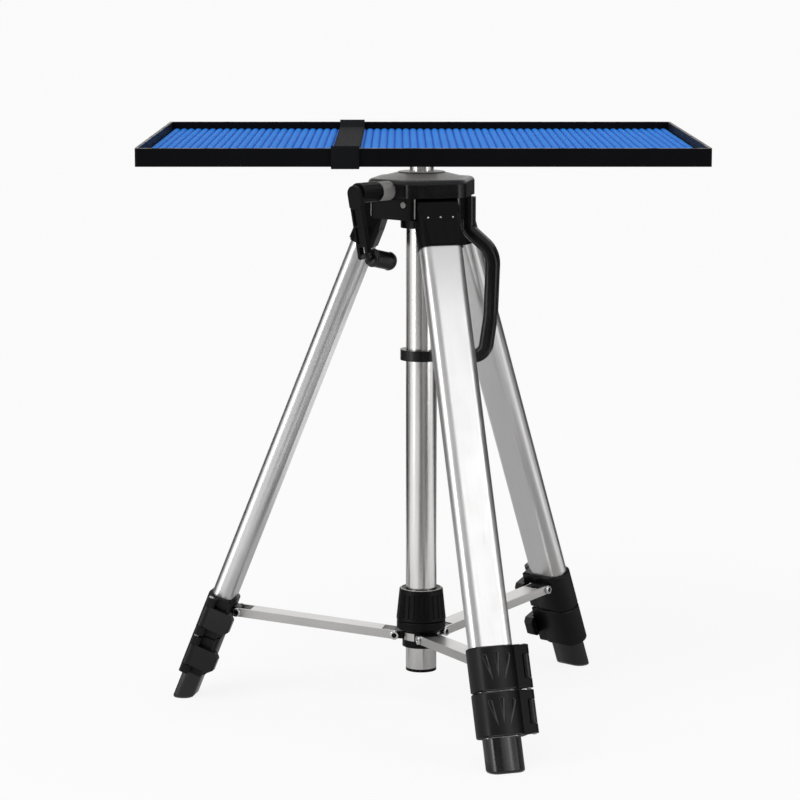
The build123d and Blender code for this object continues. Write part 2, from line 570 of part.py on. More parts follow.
upper_clamp = clamp(profiles[0], profiles[1], CLAMP_TOP)
lug_cut = down_leg(oblong(profiles[0], PRESS_FIT), CLAMP_TOP, UPPER_TUBE_END)
upper_clamp += brace_lug() - lug_cut
lower_clamp = clamp(profiles[1], profiles[2], CLAMP_TOP + CLAMP_SPACING)
leg_set = {
    "leg_bracket": LEG_FRAME * leg_bracket(),
    "leg_tube": LEG_FRAME * leg_pipe(profiles[0], UPPER_TUBE_TOP, UPPER_TUBE_END),
    "upper_clamp": LEG_FRAME * upper_clamp,
    "upper_lever": LEG_FRAME * lever(CLAMP_TOP),
    "middle_tube": LEG_FRAME * leg_pipe(profiles[1], MIDDLE_TUBE_TOP, MIDDLE_TUBE_END),
    "lower_clamp": LEG_FRAME * lower_clamp,
    "lower_lever": LEG_FRAME * lever(CLAMP_TOP + CLAMP_SPACING),
    "lower_tube": LEG_FRAME * leg_pipe(profiles[2], LOWER_TUBE_TOP, LOWER_TUBE_END),
    "foot": foot(),
    "brace_arm": channel,
}
for n, azimuth in enumerate(LEG_AZIMUTHS):
    for name, shape in leg_set.items():
        parts[f"{name}_{n + 1}"] = Rot(0, 0, azimuth) * shape

# Origin under the middle of the whole stand
boxes = [shape.bounding_box() for shape in parts.values()]
low_x = min(box.min.X for box in boxes)
high_x = max(box.max.X for box in boxes)
low_y = min(box.min.Y for box in boxes)
high_y = max(box.max.Y for box in boxes)
to_origin = Pos(-(low_x + high_x) / 2, -(low_y + high_y) / 2, 0)

os.makedirs("parts", exist_ok=True)
for name, shape in parts.items():
    export_step(to_origin * shape, f"parts/{name}.step")
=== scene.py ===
"""Looks, light and camera for a portable tripod stand with a rimmed tray."""

import json
import logging
import math
from collections.abc import Callable, Iterator
from contextlib import contextmanager
from dataclasses import dataclass, field, replace
from enum import Enum

import bmesh
import bpy
from mathutils import Matrix, Vector


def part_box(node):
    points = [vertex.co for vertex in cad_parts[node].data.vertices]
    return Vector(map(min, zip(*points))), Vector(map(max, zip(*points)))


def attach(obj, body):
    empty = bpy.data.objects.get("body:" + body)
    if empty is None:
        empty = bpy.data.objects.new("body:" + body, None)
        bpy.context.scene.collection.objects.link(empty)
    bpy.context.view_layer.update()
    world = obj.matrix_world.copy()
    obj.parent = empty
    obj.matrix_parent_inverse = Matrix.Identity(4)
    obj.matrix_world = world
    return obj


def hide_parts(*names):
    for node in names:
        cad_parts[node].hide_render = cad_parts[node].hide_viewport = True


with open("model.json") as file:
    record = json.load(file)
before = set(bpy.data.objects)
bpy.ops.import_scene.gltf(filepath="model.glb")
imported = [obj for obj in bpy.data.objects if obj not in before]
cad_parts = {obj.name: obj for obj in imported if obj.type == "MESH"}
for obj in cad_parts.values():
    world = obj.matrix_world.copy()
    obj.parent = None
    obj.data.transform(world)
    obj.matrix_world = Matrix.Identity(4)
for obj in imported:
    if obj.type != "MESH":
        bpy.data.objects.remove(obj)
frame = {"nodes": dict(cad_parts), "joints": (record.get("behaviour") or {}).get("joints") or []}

Colour = tuple[float, float, float]
Triple = tuple[float, float, float]
Input = "float | tuple[float, ...] | Value"

log = logging.getLogger("stand")

MM = 0.001
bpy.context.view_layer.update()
NEAR = 0.1 * MM
WHITE = (1.0, 1.0, 1.0, 1.0)

# Pale tints, linear: paint wear and a painted highlight on the tray's rim, a painted highlight in the
# clamps' flutes, and dust
WORN_AND_LIT_PAINT = (0.3, 0.27, 0.24)
FLUTE_HIGHLIGHT = (0.06, 0.06, 0.063)
DUST = (0.16, 0.16, 0.165)

# Depths between which the tray's rim shows wear and a painted highlight, and between which painted shade
# darkens the mat's grooves
RIM_WORN_AND_LIT = (0.4 * MM, 0.05 * MM)
GROOVE_SHADE = (1.7 * MM, 0.2 * MM)

# Webbing: distance from thread to thread, and where its selvedge starts across the band
WARP_PITCH = 1.6 * MM
WEFT_PITCH = 2.2 * MM
SELVEDGE = (8.8 * MM, 9.6 * MM)

# Clamps: depths between which the painted highlight in the sunk flutes fades in and out again, and distance
# across where it stops
FLUTE_LIGHT_IN = (0.05 * MM, 0.25 * MM)
FLUTE_LIGHT_OUT = (0.5 * MM, 0.9 * MM)
FLUTE_LIGHT_ASIDE = (13.5 * MM, 14.5 * MM)

# Screw head: shares of its radius and height
DRIVE_INSET = 0.42
DRIVE_WALL = 0.08
DRIVE_DEPTH = 0.45
HEAD_ROUND = 0.35


class Pick(Enum):
    """Kind of mesh element that a selection looks at."""

    POINTS = "VERT"
    EDGES = "EDGE"
    FACES = "FACE"


class Surface(Enum):
    """How a finish is patterned."""

    DRAWN = "drawn metal"
    POLISHED = "polished metal"
    MOULDED = "moulded plastic"
    PAINTED = "painted sheet"
    FOAM = "ribbed foam"
    WOVEN = "woven webbing"


class Value:
    """A shader socket that takes part in Python arithmetic."""

    def __init__(self, book: "NodeBook", socket: bpy.types.NodeSocket) -> None:
        """Keep the socket and the node tree that it belongs to.

        Args:
            book: The node tree's maker.
            socket: An output socket.
        """
        self.book = book
        self.socket = socket

    def math(self, operation: str, *others: Input) -> "Value":
        """Feed this value and others to a Math node.

        Args:
            operation: The Math node's operation.
            others: Further inputs, in order.

        Returns:
            The node's result.
        """
        inputs = dict(enumerate((self, *others)))
        return self.book.node("ShaderNodeMath", {"operation": operation}, inputs)

    def flipped(self, operation: str, first: float) -> "Value":
        """Feed a number and then this value to a Math node."""
        return self.book.node("ShaderNodeMath", {"operation": operation}, {0: first, 1: self})

    def __add__(self, other: Input) -> "Value":
        """Sum."""
        return self.math("ADD", other)

    __radd__ = __add__

    def __sub__(self, other: Input) -> "Value":
        """Difference."""
        return self.math("SUBTRACT", other)

    def __rsub__(self, other: float) -> "Value":
        """Difference from a number."""
        return self.flipped("SUBTRACT", other)

    def __mul__(self, other: Input) -> "Value":
        """Product."""
        return self.math("MULTIPLY", other)

    __rmul__ = __mul__

    def __truediv__(self, other: Input) -> "Value":
        """Quotient."""
        return self.math("DIVIDE", other)

    def wave(self, period: float) -> "Value":
        """Sine between 0 and 1 with the given period."""
        return (self * (2 * math.pi / period)).math("SINE") * 0.5 + 0.5

    def step(self, low: float, high: float) -> "Value":
        """Smooth rise from 0 at low to 1 at high."""
        inputs = {"Value": self, "From Min": low, "From Max": high}
        settings = {"interpolation_type": "SMOOTHSTEP", "clamp": True}
        return self.book.node("ShaderNodeMapRange", settings, inputs)


class NodeBook:
    """Makes the nodes of one tree."""

    def __init__(self, tree: bpy.types.NodeTree) -> None:
        """Empty the tree.

        Args:
            tree: A material's or world's node tree.
        """
        self.tree = tree
        tree.nodes.clear()

    @staticmethod
    def find(sockets: bpy.types.bpy_prop_collection, key: int | str) -> bpy.types.NodeSocket:
        """Look a socket up by its number, identifier or name.

        Args:
            sockets: A node's inputs or outputs.
            key: Number, identifier or name.

        Returns:
            The socket.
        """
        if isinstance(key, int):
            return sockets[key]
        named = [s for s in sockets if s.identifier == key]
        return named[0] if named else sockets[key]

    def node(
        self,
        kind: str,
        settings: dict[str, object],
        inputs: "dict[int | str, Input]",
        output: int | str = 0,
    ) -> Value:
        """Add one node.

        Args:
            kind: The node's type.
            settings: Its properties, set first.
            inputs: Values or links of its sockets.
            output: The output socket to hand back.

        Returns:
            That output, ready for arithmetic.
        """
        made = self.tree.nodes.new(kind)
        for name, value in settings.items():
            setattr(made, name, value)
        for key, value in inputs.items():
            socket = self.find(made.inputs, key)
            if isinstance(value, Value):
                self.tree.links.new(value.socket, socket)
            else:
                socket.default_value = value
        return Value(self, self.find(made.outputs, output) if made.outputs else None)

    def place(self, turn: Triple = (0.0, 0.0, 0.0), shift: Triple = (0.0, 0.0, 0.0)) -> Value:
        """Object coordinates in metres, turned so that a pattern's grain runs along Z, then shifted."""
        seat = self.node("ShaderNodeTexCoord", {}, {}, "Object")
        inputs = {"Vector": seat, "Rotation": turn, "Location": shift}
        return self.node("ShaderNodeMapping", {"vector_type": "POINT"}, inputs)

    def stretch(self, place: Value, by: Triple) -> Value:
        """Multiply a vector by three factors."""
        return self.node("ShaderNodeVectorMath", {"operation": "MULTIPLY"}, {0: place, 1: by})

    def noise(self, place: Value, scale: float, detail: float = 2.0) -> Value:
        """Cloudy pattern between 0 and 1.

        Args:
            place: Where the pattern is read.
            scale: Features per metre.
            detail: Octaves.

        Returns:
            The pattern's value.
        """
        inputs = {"Vector": place, "Scale": scale, "Detail": detail, "Roughness": 0.55}
        return self.node("ShaderNodeTexNoise", {}, inputs, "Fac")

    def axis(self, place: Value, name: str) -> Value:
        """One coordinate of a vector."""
        return self.node("ShaderNodeSeparateXYZ", {}, {0: place}, name)

    def blend(self, factor: Input, first: Colour | Value, second: Colour | Value) -> Value:
        """Mix two colours.

        Args:
            factor: 0 for the first, 1 for the second.
            first: Colour or socket.
            second: Colour or socket.

        Returns:
            The mixed colour.
        """
        inputs: dict[int | str, Input] = {"Factor_Float": factor}
        for key, colour in (("A_Color", first), ("B_Color", second)):
            inputs[key] = colour if isinstance(colour, Value) else (*colour, 1.0)
        return self.node("ShaderNodeMix", {"data_type": "RGBA"}, inputs, "Result_Color")

    def bump(self, height: Value, strength: float, distance: float, under: Value | None = None) -> Value:
        """Surface relief from a height between 0 and 1.

        Args:
            height: The height.
            strength: Share of the relief that shows.
            distance: Relief from 0 to 1, in metres.
            under: Relief that it lies on.

        Returns:
            The normal.
        """
        inputs: dict[int | str, Input] = {"Height": height, "Strength": strength, "Distance": distance}
        if under:
            inputs["Normal"] = under
        return self.node("ShaderNodeBump", {}, inputs, "Normal")


@dataclass(frozen=True)
class Finish:
    """One procedural finish.

    Attributes:
        name: The material's name.
        slot: The record's material slot; not used here.
        surface: How it is patterned.
        colour: Main colour, linear.
        shade: Colour that it varies to, linear.
        rough: Mean roughness.
        metal: Metallic share.
        gloss: Specular level.
        coat: Clear coat's weight.
        coat_rough: Its roughness.
        grain: Pattern's features per metre.
        relief: Depth of the pattern's bump, in metres.
        turn: Turn of the pattern, in radians.
        shift: Shift of the pattern after the turn, in metres.
        crown: Depth of a soft crown across the leg, in metres.
        crown_half: Half the width of that crown.
        front: Distance of a moulding's front from the leg's axis, where a highlight is painted pale into
            its sunk flutes.
        flat_half: Half the width of the flat of that front.
        corner: Radius of the corners beside it.
    """

    name: str
    slot: str
    surface: Surface
    colour: Colour
    shade: Colour
    rough: float
    metal: float = 0.0
    gloss: float = 0.5
    coat: float = 0.0
    coat_rough: float = 0.12
    grain: float = 900.0
    relief: float = 0.00003
    turn: Triple = (0.0, 0.0, 0.0)
    shift: Triple = (0.0, 0.0, 0.0)
    crown: float = 0.0
    crown_half: float = 0.022
    front: float = 0.0
    flat_half: float = 0.0
    corner: float = 0.0

    def material(self) -> bpy.types.Material:
        """Return the finish as a Blender material, made once."""
        known = bpy.data.materials.get(self.name)
        if known:
            return known
        made = bpy.data.materials.new(self.name)
        made.use_nodes = True
        book = NodeBook(made.node_tree)
        patterns = {
            Surface.DRAWN: self.drawn,
            Surface.POLISHED: self.polished,
            Surface.MOULDED: self.moulded,
            Surface.PAINTED: self.painted,
            Surface.FOAM: self.foam,
            Surface.WOVEN: self.woven,
        }
        colour, rough, relief = patterns[self.surface](book)
        inputs = {
            "Base Color": colour,
            "Roughness": rough,
            "Normal": relief,
            "Metallic": self.metal,
            "Specular IOR Level": self.gloss,
            "Coat Weight": self.coat,
            "Coat Roughness": self.coat_rough,
        }
        shader = book.node("ShaderNodeBsdfPrincipled", {}, inputs)
        book.node("ShaderNodeOutputMaterial", {}, {"Surface": shader})
        return made

    def drawn(self, book: NodeBook) -> tuple[Value, Value, Value]:
        """Satin metal with fine lines along its length and faint handling marks.

        Args:
            book: The material's node maker.

        Returns:
            Colour, roughness and relief.
        """
        place = book.place(self.turn)
        lines = book.noise(book.stretch(place, (1.0, 1.0, 0.012)), self.grain, 3.0)
        marks = book.noise(place, 26.0, 3.0)
        scuffs = book.noise(book.stretch(place, (1.0, 1.0, 0.25)), 210.0, 2.0).step(0.66, 0.72)
        colour = book.blend(lines * 0.6 + marks * 0.4, self.colour, self.shade)
        colour = book.blend(scuffs * 0.25, colour, self.shade)
        rough = (lines - 0.5) * 0.16 + (marks - 0.5) * 0.12 + scuffs * 0.08 + self.rough
        return colour, rough, book.bump(lines, 0.25, self.relief)

    def polished(self, book: NodeBook) -> tuple[Value, Value, Value]:
        """Bright metal with a few wipe marks.

        Args:
            book: The material's node maker.

        Returns:
            Colour, roughness and relief.
        """
        place = book.place(self.turn)
        lines = book.noise(book.stretch(place, (1.0, 1.0, 0.02)), self.grain, 2.0)
        wipes = book.noise(book.stretch(place, (1.0, 1.0, 0.3)), 60.0, 3.0)
        colour = book.blend(wipes, self.colour, self.shade)
        rough = (wipes - 0.5) * 0.1 + (lines - 0.5) * 0.05 + self.rough
        return colour, rough, book.bump(lines, 0.12, self.relief)

    def moulded(self, book: NodeBook) -> tuple[Value, Value, Value]:
        """Moulded plastic or rubber: fine pebble grain, dull and shiny patches, a little dust, and a
        painted highlight in a clamp's sunk flutes.

        Args:
            book: The material's node maker.

        Returns:
            Colour, roughness and relief.
        """
        place = book.place(self.turn, self.shift)
        pebbles = book.node(
            "ShaderNodeTexVoronoi",
            {"feature": "SMOOTH_F1"},
            {"Vector": place, "Scale": self.grain, "Smoothness": 0.6},
            "Distance",
        )
        patches = book.noise(place, 45.0, 3.0)
        dust = book.noise(place, 700.0, 1.0).step(0.7, 0.78) * patches.step(0.45, 0.7)
        colour = book.blend(patches * 0.7 + pebbles * 0.3, self.colour, self.shade)
        colour = book.blend(dust * 0.06, colour, DUST)
        rough = (patches - 0.5) * 0.18 + pebbles * 0.08 + dust * 0.2 + self.rough
        # Painted highlight: the sunk flutes of a clamp's front are coloured pale
        if self.front:
            colour = book.blend(self.pale_edges(book, place) * 0.85, colour, FLUTE_HIGHLIGHT)
        relief = book.bump(pebbles, 0.35, self.relief)
        if self.crown:
            swell = (book.axis(place, "Y") * (math.pi / 2 / self.crown_half)).math("COSINE")
            relief = book.bump(swell, 1.0, self.crown, relief)
        return colour, rough, relief

    def pale_edges(self, book: NodeBook, place: Value) -> Value:
        """Mask of the painted highlight on the edges where a moulding's front is sunk.

        Args:
            book: The material's node maker.
            place: Coordinates in the leg's frame.

        Returns:
            1 on the edges and 0 elsewhere.
        """
        aside = book.axis(place, "Y").math("ABSOLUTE")
        over = (aside - self.flat_half).math("MAXIMUM", 0.0)
        drop = self.corner - (self.corner**2 - over * over).math("SQRT")
        sunk = self.front - drop - book.axis(place, "X")
        band = sunk.step(*FLUTE_LIGHT_IN) * (1 - sunk.step(*FLUTE_LIGHT_OUT))
        return band * (1 - aside.step(*FLUTE_LIGHT_ASIDE))

    def painted(self, book: NodeBook) -> tuple[Value, Value, Value]:
        """Painted sheet metal with a pale line along the rim, partly wear and partly a painted highlight.

        Args:
            book: The material's node maker.

        Returns:
            Colour, roughness and relief.
        """
        place = book.place(self.turn)
        peel = book.noise(place, self.grain, 2.0)
        patches = book.noise(place, 22.0, 3.0)
        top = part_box("tray_pan")[1].z
        rim = book.axis(place, "Z").step(*(top - depth for depth in RIM_WORN_AND_LIT))
        # Pale rim line: partly wear, partly a painted highlight along the rim's top edge
        pale_edges = rim * book.noise(place, 130.0, 3.0).step(0.3, 0.62)
        colour = book.blend(patches, self.colour, self.shade)
        colour = book.blend(pale_edges * 0.75, colour, WORN_AND_LIT_PAINT)
        rough = (patches - 0.5) * 0.14 + (peel - 0.5) * 0.1 - pale_edges * 0.12 + self.rough
        return colour, rough, book.bump(peel, 0.2, self.relief)

    def foam(self, book: NodeBook) -> tuple[Value, Value, Value]:
        """Foam with open pores, with painted shade between its ribs.

        Args:
            book: The material's node maker.

        Returns:
            Colour, roughness and relief.
        """
        place = book.place(self.turn)
        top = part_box("tray_mat")[1].z
        # Painted shade: the grooves between the ribs are darker than the crests
        crest = book.axis(place, "Z").step(*(top - depth for depth in GROOVE_SHADE))
        pores = book.noise(place, self.grain, 3.0)
        fade = book.noise(place, 16.0, 2.0)
        share = crest * 0.75 + (pores - 0.5) * 0.35 + (fade - 0.5) * 0.25
        colour = book.blend(share, self.shade, self.colour)
        rough = (pores - 0.5) * 0.12 - crest * 0.08 + self.rough
        return colour, rough, book.bump(pores, 0.45, self.relief)

    def woven(self, book: NodeBook) -> tuple[Value, Value, Value]:
        """Webbing with a ribbed weave that follows the band, and two plain selvedges.

        Args:
            book: The material's node maker.

        Returns:
            Colour, roughness and relief.
        """
        run = book.node("ShaderNodeAttribute", {"attribute_name": Strap.RUN}, {}, "Vector")
        across = book.axis(run, "X")
        along = book.axis(run, "Y")
        edge = across.math("ABSOLUTE").step(*SELVEDGE)
        warp = across.wave(WARP_PITCH)
        turn = (across / WARP_PITCH).math("FLOOR").math("PINGPONG", 1.0)
        weft = (along + turn * (WEFT_PITCH / 2)).wave(WEFT_PITCH)
        threads = (warp * 0.45 + weft * 0.55) * (1 - edge) + along.wave(WEFT_PITCH / 2) * edge
        fuzz = book.noise(run, self.grain, 2.0)
        colour = book.blend(threads * 0.7 + fuzz * 0.3, self.colour, self.shade)
        rough = (fuzz - 0.5) * 0.14 - threads * 0.12 + self.rough
        return colour, rough, book.bump(threads + fuzz * 0.3, 0.8, self.relief)


class Workpiece:
    """One new mesh, shaped with the modelling operators."""

    def __init__(self, name: str, scale: Triple = (1.0, 1.0, 1.0)) -> None:
        """Take over the primitive that was just added.

        Args:
            name: The piece's name.
            scale: Size of the piece, where the primitive is one metre wide.
        """
        self.thing: bpy.types.Object = bpy.context.active_object
        self.thing.name = name
        self.thing.data.name = name
        self.thing.scale = scale
        bpy.ops.object.transform_apply(location=True, rotation=True, scale=True)

    @classmethod
    def start(
        cls, name: str, primitive: Callable[..., set], scale: Triple = (1.0, 1.0, 1.0), **sizes: object
    ) -> "Workpiece":
        """Add a primitive with nothing else selected.

        Args:
            name: The piece's name.
            primitive: The operator that adds it.
            scale: Its size in X, Y and Z, where the primitive is one metre wide.
            sizes: The operator's settings.

        Returns:
            The new piece.
        """
        bpy.ops.object.select_all(action="DESELECT")
        primitive(**sizes)
        return cls(name, scale)

    @classmethod
    def block(cls, name: str, size: Triple, at: Triple) -> "Workpiece":
        """Box of the given size and middle, in metres."""
        return cls.start(name, bpy.ops.mesh.primitive_cube_add, size=1.0, scale=size, location=at)

    @classmethod
    def disc(cls, name: str, radius: float, height: float, sides: int = 32) -> "Workpiece":
        """Upright cylinder that stands on the origin."""
        sizes = {"radius": radius, "depth": height, "vertices": sides, "location": (0.0, 0.0, height / 2)}
        return cls.start(name, bpy.ops.mesh.primitive_cylinder_add, **sizes)

    @classmethod
    def button(cls, name: str, radius: float, height: float, sides: int = 24) -> "Workpiece":
        """Domed cap that stands on the origin: the upper half of a flattened ball.

        Args:
            name: The piece's name.
            radius: Radius of its base.
            height: Height of its crown.
            sides: Sides round it.

        Returns:
            The closed cap.
        """
        piece = cls.start(
            name, bpy.ops.mesh.primitive_uv_sphere_add, radius=radius, segments=sides, ring_count=sides // 2
        )
        with piece.edit():
            bpy.ops.mesh.select_all(action="SELECT")
            bpy.ops.transform.resize(value=(1.0, 1.0, height / radius))
            bpy.ops.mesh.bisect(plane_co=(0, 0, 0), plane_no=(0, 0, 1), use_fill=True, clear_inner=True)
        return piece

    @contextmanager
    def edit(self) -> Iterator[None]:
        """Hold edit mode open for a run of operators."""
        bpy.ops.object.mode_set(mode="EDIT")
        yield
        bpy.ops.object.mode_set(mode="OBJECT")

    def pick(self, kind: Pick, test: Callable[[Vector, Vector], bool]) -> None:
        """Select elements by their place and direction, in edit mode.

        Args:
            kind: Points, edges or faces.
            test: Takes an element's middle and its normal, or an edge's direction.
        """
        bpy.ops.mesh.select_mode(type=kind.value)
        bpy.ops.mesh.select_all(action="DESELECT")
        shape = bmesh.from_edit_mesh(self.thing.data)
        if kind is Pick.POINTS:
            found = [v for v in shape.verts if test(v.co, v.normal)]
        elif kind is Pick.EDGES:
            found = []
            for edge in shape.edges:
                first, last = (v.co for v in edge.verts)
                if test((first + last) / 2, (last - first).normalized()):
                    found.append(edge)
        else:
            found = [f for f in shape.faces if test(f.calc_center_median(), f.normal)]
        for element in found:
            element.select_set(True)
        bmesh.update_edit_mesh(self.thing.data)

    def soften(self, width: float, segments: int = 2, angle: float = 40.0) -> "Workpiece":
        """Round the edges sharper than an angle."""
        settings = {"width": width, "segments": segments, "limit_method": "ANGLE"}
        return self.modify("BEVEL", angle_limit=math.radians(angle), **settings)

    def modify(self, kind: str, **settings: object) -> "Workpiece":
        """Add a modifier and apply it.

        Args:
            kind: The modifier's type.
            settings: Its properties.

        Returns:
            This piece.
        """
        self.activate()
        added = self.thing.modifiers.new(kind.lower(), kind)
        for name, value in settings.items():
            setattr(added, name, value)
        bpy.ops.object.modifier_apply(modifier=added.name)
        return self

    def activate(self) -> None:
        """Make this the one selected and active object."""
        bpy.ops.object.select_all(action="DESELECT")
        self.thing.select_set(True)
        bpy.context.view_layer.objects.active = self.thing

    def placed(self, *seats: Matrix) -> "Workpiece":
        """Put the mesh in one or more places, as one object at the origin.

        Args:
            seats: Where each copy of the mesh goes.

        Returns:
            This piece.
        """
        copies = []
        for seat in seats[1:]:
            extra = self.thing.copy()
            extra.data = self.thing.data.copy()
            bpy.context.scene.collection.objects.link(extra)
            extra.data.transform(seat)
            copies.append(extra)
        self.thing.data.transform(seats[0])
        self.activate()
        for extra in copies:
            extra.select_set(True)
        if copies:
            bpy.ops.object.join()
        return self

    def dress(self, finish: Finish, body: str, angle: float = 35.0) -> bpy.types.Object:
        """Give the piece its finish and let it ride a body.

        Args:
            finish: Its finish.
            body: The body that carries it.
            angle: Edges flatter than this are shaded smooth.

        Returns:
            The finished object.
        """
        self.activate()
        bpy.ops.object.shade_smooth_by_angle(angle=math.radians(angle))
        self.thing.data.materials.clear()
        self.thing.data.materials.append(finish.material())
        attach(self.thing, body)
        log.info("%s rides %s in %s", self.thing.name, body, finish.name)
        return self.thing


def dress_nodes(finish: Finish, *names: str) -> None:
    """Give CAD nodes a finish.

    Args:
        finish: The finish.
        names: The nodes.
    """
    for name in names:
        node = frame["nodes"][name]
        node.data.materials.clear()
        node.data.materials.append(finish.material())
        log.info("%s in %s", name, finish.name)


BLACK = (0.002, 0.002, 0.0023)
SOOT = (0.0045, 0.0045, 0.005)

TRAY_PAINT = Finish(
    "tray_black_paint", "tray_paint", Surface.PAINTED,
    (0.0018, 0.0019, 0.0026), (0.0034, 0.0035, 0.0044), 0.5,
    gloss=0.07, grain=520.0, relief=0.00004,
)
MAT_FOAM = Finish(
    "mat_blue_foam", "blue_mat", Surface.FOAM, (0.022, 0.285, 0.9), (0.002, 0.09, 0.54), 0.74,
    gloss=0.1, grain=1500.0, relief=0.00012,
)
WEBBING = Finish(
    "strap_black_webbing", "webbing", Surface.WOVEN, (0.0022, 0.0024, 0.0032), (0.009, 0.0095, 0.0115), 0.8,
    gloss=0.07, grain=1800.0, relief=0.0003,
)
BRIGHT_TUBE = Finish(
    "bright_tube_metal", "bright_tube", Surface.POLISHED, (0.78, 0.77, 0.76), (0.68, 0.67, 0.66), 0.24,
    metal=1.0, grain=1400.0, relief=0.00001,
)
BRIGHT_RIVET = Finish(
    "bright_rivet_metal", "brace_aluminium", Surface.POLISHED, (0.8, 0.8, 0.8), (0.66, 0.66, 0.66), 0.26,
    metal=1.0, grain=1400.0, relief=0.00001,
)
# Grey metal of screws, pins and the socket; it also paints the highlights on beads and rims and the dome's
# reflection
METAL_GREY_AND_HIGHLIGHT = Finish(
    "metal_grey_and_highlight", "grey_metal", Surface.POLISHED, (0.46, 0.45, 0.44), (0.37, 0.36, 0.35), 0.38,
    metal=0.3, grain=700.0, relief=0.00002,
)
BLACK_PLASTIC = Finish(
    "moulded_black_plastic", "black_plastic", Surface.MOULDED, BLACK, SOOT, 0.3,
    gloss=0.12, grain=1700.0, relief=0.00003,
)
SATIN_BLACK = Finish(
    "satin_black_plastic", "black_plastic", Surface.MOULDED, BLACK, SOOT, 0.22,
    gloss=0.35, grain=1500.0, relief=0.00001,
)
GLOSS_BLACK = Finish(
    "gloss_black_plastic", "gloss_black", Surface.MOULDED,
    (0.003, 0.003, 0.0034), (0.006, 0.006, 0.0066), 0.26,
    gloss=0.35, coat=0.1, grain=1100.0, relief=0.00001,
)


CLAMP_PLASTIC = Finish(
    "clamp_satin_plastic", "black_plastic", Surface.MOULDED, BLACK, SOOT, 0.34,
    gloss=0.25, grain=1500.0, relief=0.00002, crown=7.5 * MM, crown_half=22.0 * MM,
    front=12.0 * MM, flat_half=9.1 * MM, corner=11.4 * MM,
)
FOOT_RUBBER = Finish(
    "foot_black_rubber", "foot_rubber", Surface.MOULDED, BLACK, SOOT, 0.2,
    gloss=0.7, grain=1300.0, relief=0.00001, crown=6.0 * MM, crown_half=17.0 * MM,
)
LEG_METAL = Finish(
    "leg_satin_metal", "leg_aluminium", Surface.DRAWN, (0.83, 0.825, 0.825), (0.72, 0.71, 0.71), 0.34,
    metal=1.0, grain=1900.0, relief=0.00002,
)
BRACE_METAL = Finish(
    "brace_pressed_metal", "brace_aluminium", Surface.DRAWN, (0.74, 0.73, 0.72), (0.58, 0.57, 0.56), 0.34,
    metal=1.0, grain=1300.0, relief=0.00003,
)


def laid(finish: Finish, number: int, seat: Matrix) -> Finish:
    """Lay a finish along one leg or brace arm.

    Args:
        finish: The finish.
        number: The leg, from 1.
        seat: The leg's or arm's own frame, with Z along it.

    Returns:
        Its own copy of the finish, patterned in that frame.
    """
    back = seat.inverted()
    turn = tuple(back.to_3x3().to_euler("XYZ"))
    return replace(finish, name=f"{finish.name}_{number}", turn=turn, shift=tuple(back.translation))


def joint_point(name: str) -> Vector:
    """Return a joint's anchor in metres."""
    joint = next(j for j in frame["joints"] if j["name"] == name)
    return Vector(joint["pos_m"])


def both_faces(middle: Matrix, reach: float) -> list[Matrix]:
    """Seats on the two faces of a part, with Z out of each.

    Args:
        middle: Frame between the faces, with Y across them.
        reach: Distance of each face from there.

    Returns:
        One frame for each face.
    """
    seats = []
    for side in (-1, 1):
        shift = Matrix.Translation((0.0, side * reach, 0.0))
        facing = Matrix.Rotation(-side * math.radians(90), 4, "X")
        seats.append(middle @ shift @ facing)
    return seats


@dataclass
class Layout:
    """Places that the sub-assemblies share.

    Attributes:
        azimuths: Direction of each leg, in degrees.
        hinge_radius: Leg hinge's distance from the column axis.
        hinge_height: Leg hinge's height.
        splay: Lean of a leg, in degrees.
        half_turn: Angle from a leg to the pillar beside it, in degrees.
        axis: The column's axis on the floor.
    """

    azimuths: Triple = (-71.8, 48.2, 168.2)
    hinge_radius: float = 37.0 * MM
    hinge_height: float = 434.0 * MM
    splay: float = 21.9
    half_turn: float = 60.0
    axis: Vector = field(default_factory=Vector)

    def __post_init__(self) -> None:
        """Read the column's axis from its node."""
        low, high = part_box("centre_column")
        self.axis = Vector(((low.x + high.x) / 2, (low.y + high.y) / 2, 0.0))

    def round_axis(self, azimuth: float) -> Matrix:
        """Frame on the column axis with X towards an azimuth in degrees."""
        return Matrix.Translation(self.axis) @ Matrix.Rotation(math.radians(azimuth), 4, "Z")

    def leg(self, number: int) -> Matrix:
        """Leg frame: X out of its front, Y across it, Z up along it.

        Args:
            number: The leg, from 1.

        Returns:
            The frame's matrix.
        """
        hinge = Matrix.Translation((self.hinge_radius, 0.0, self.hinge_height))
        lean = Matrix.Rotation(math.radians(-self.splay), 4, "Y")
        return self.round_axis(self.azimuths[number - 1]) @ hinge @ lean


OUTWARD = Matrix.Rotation(math.radians(90), 4, "Y")


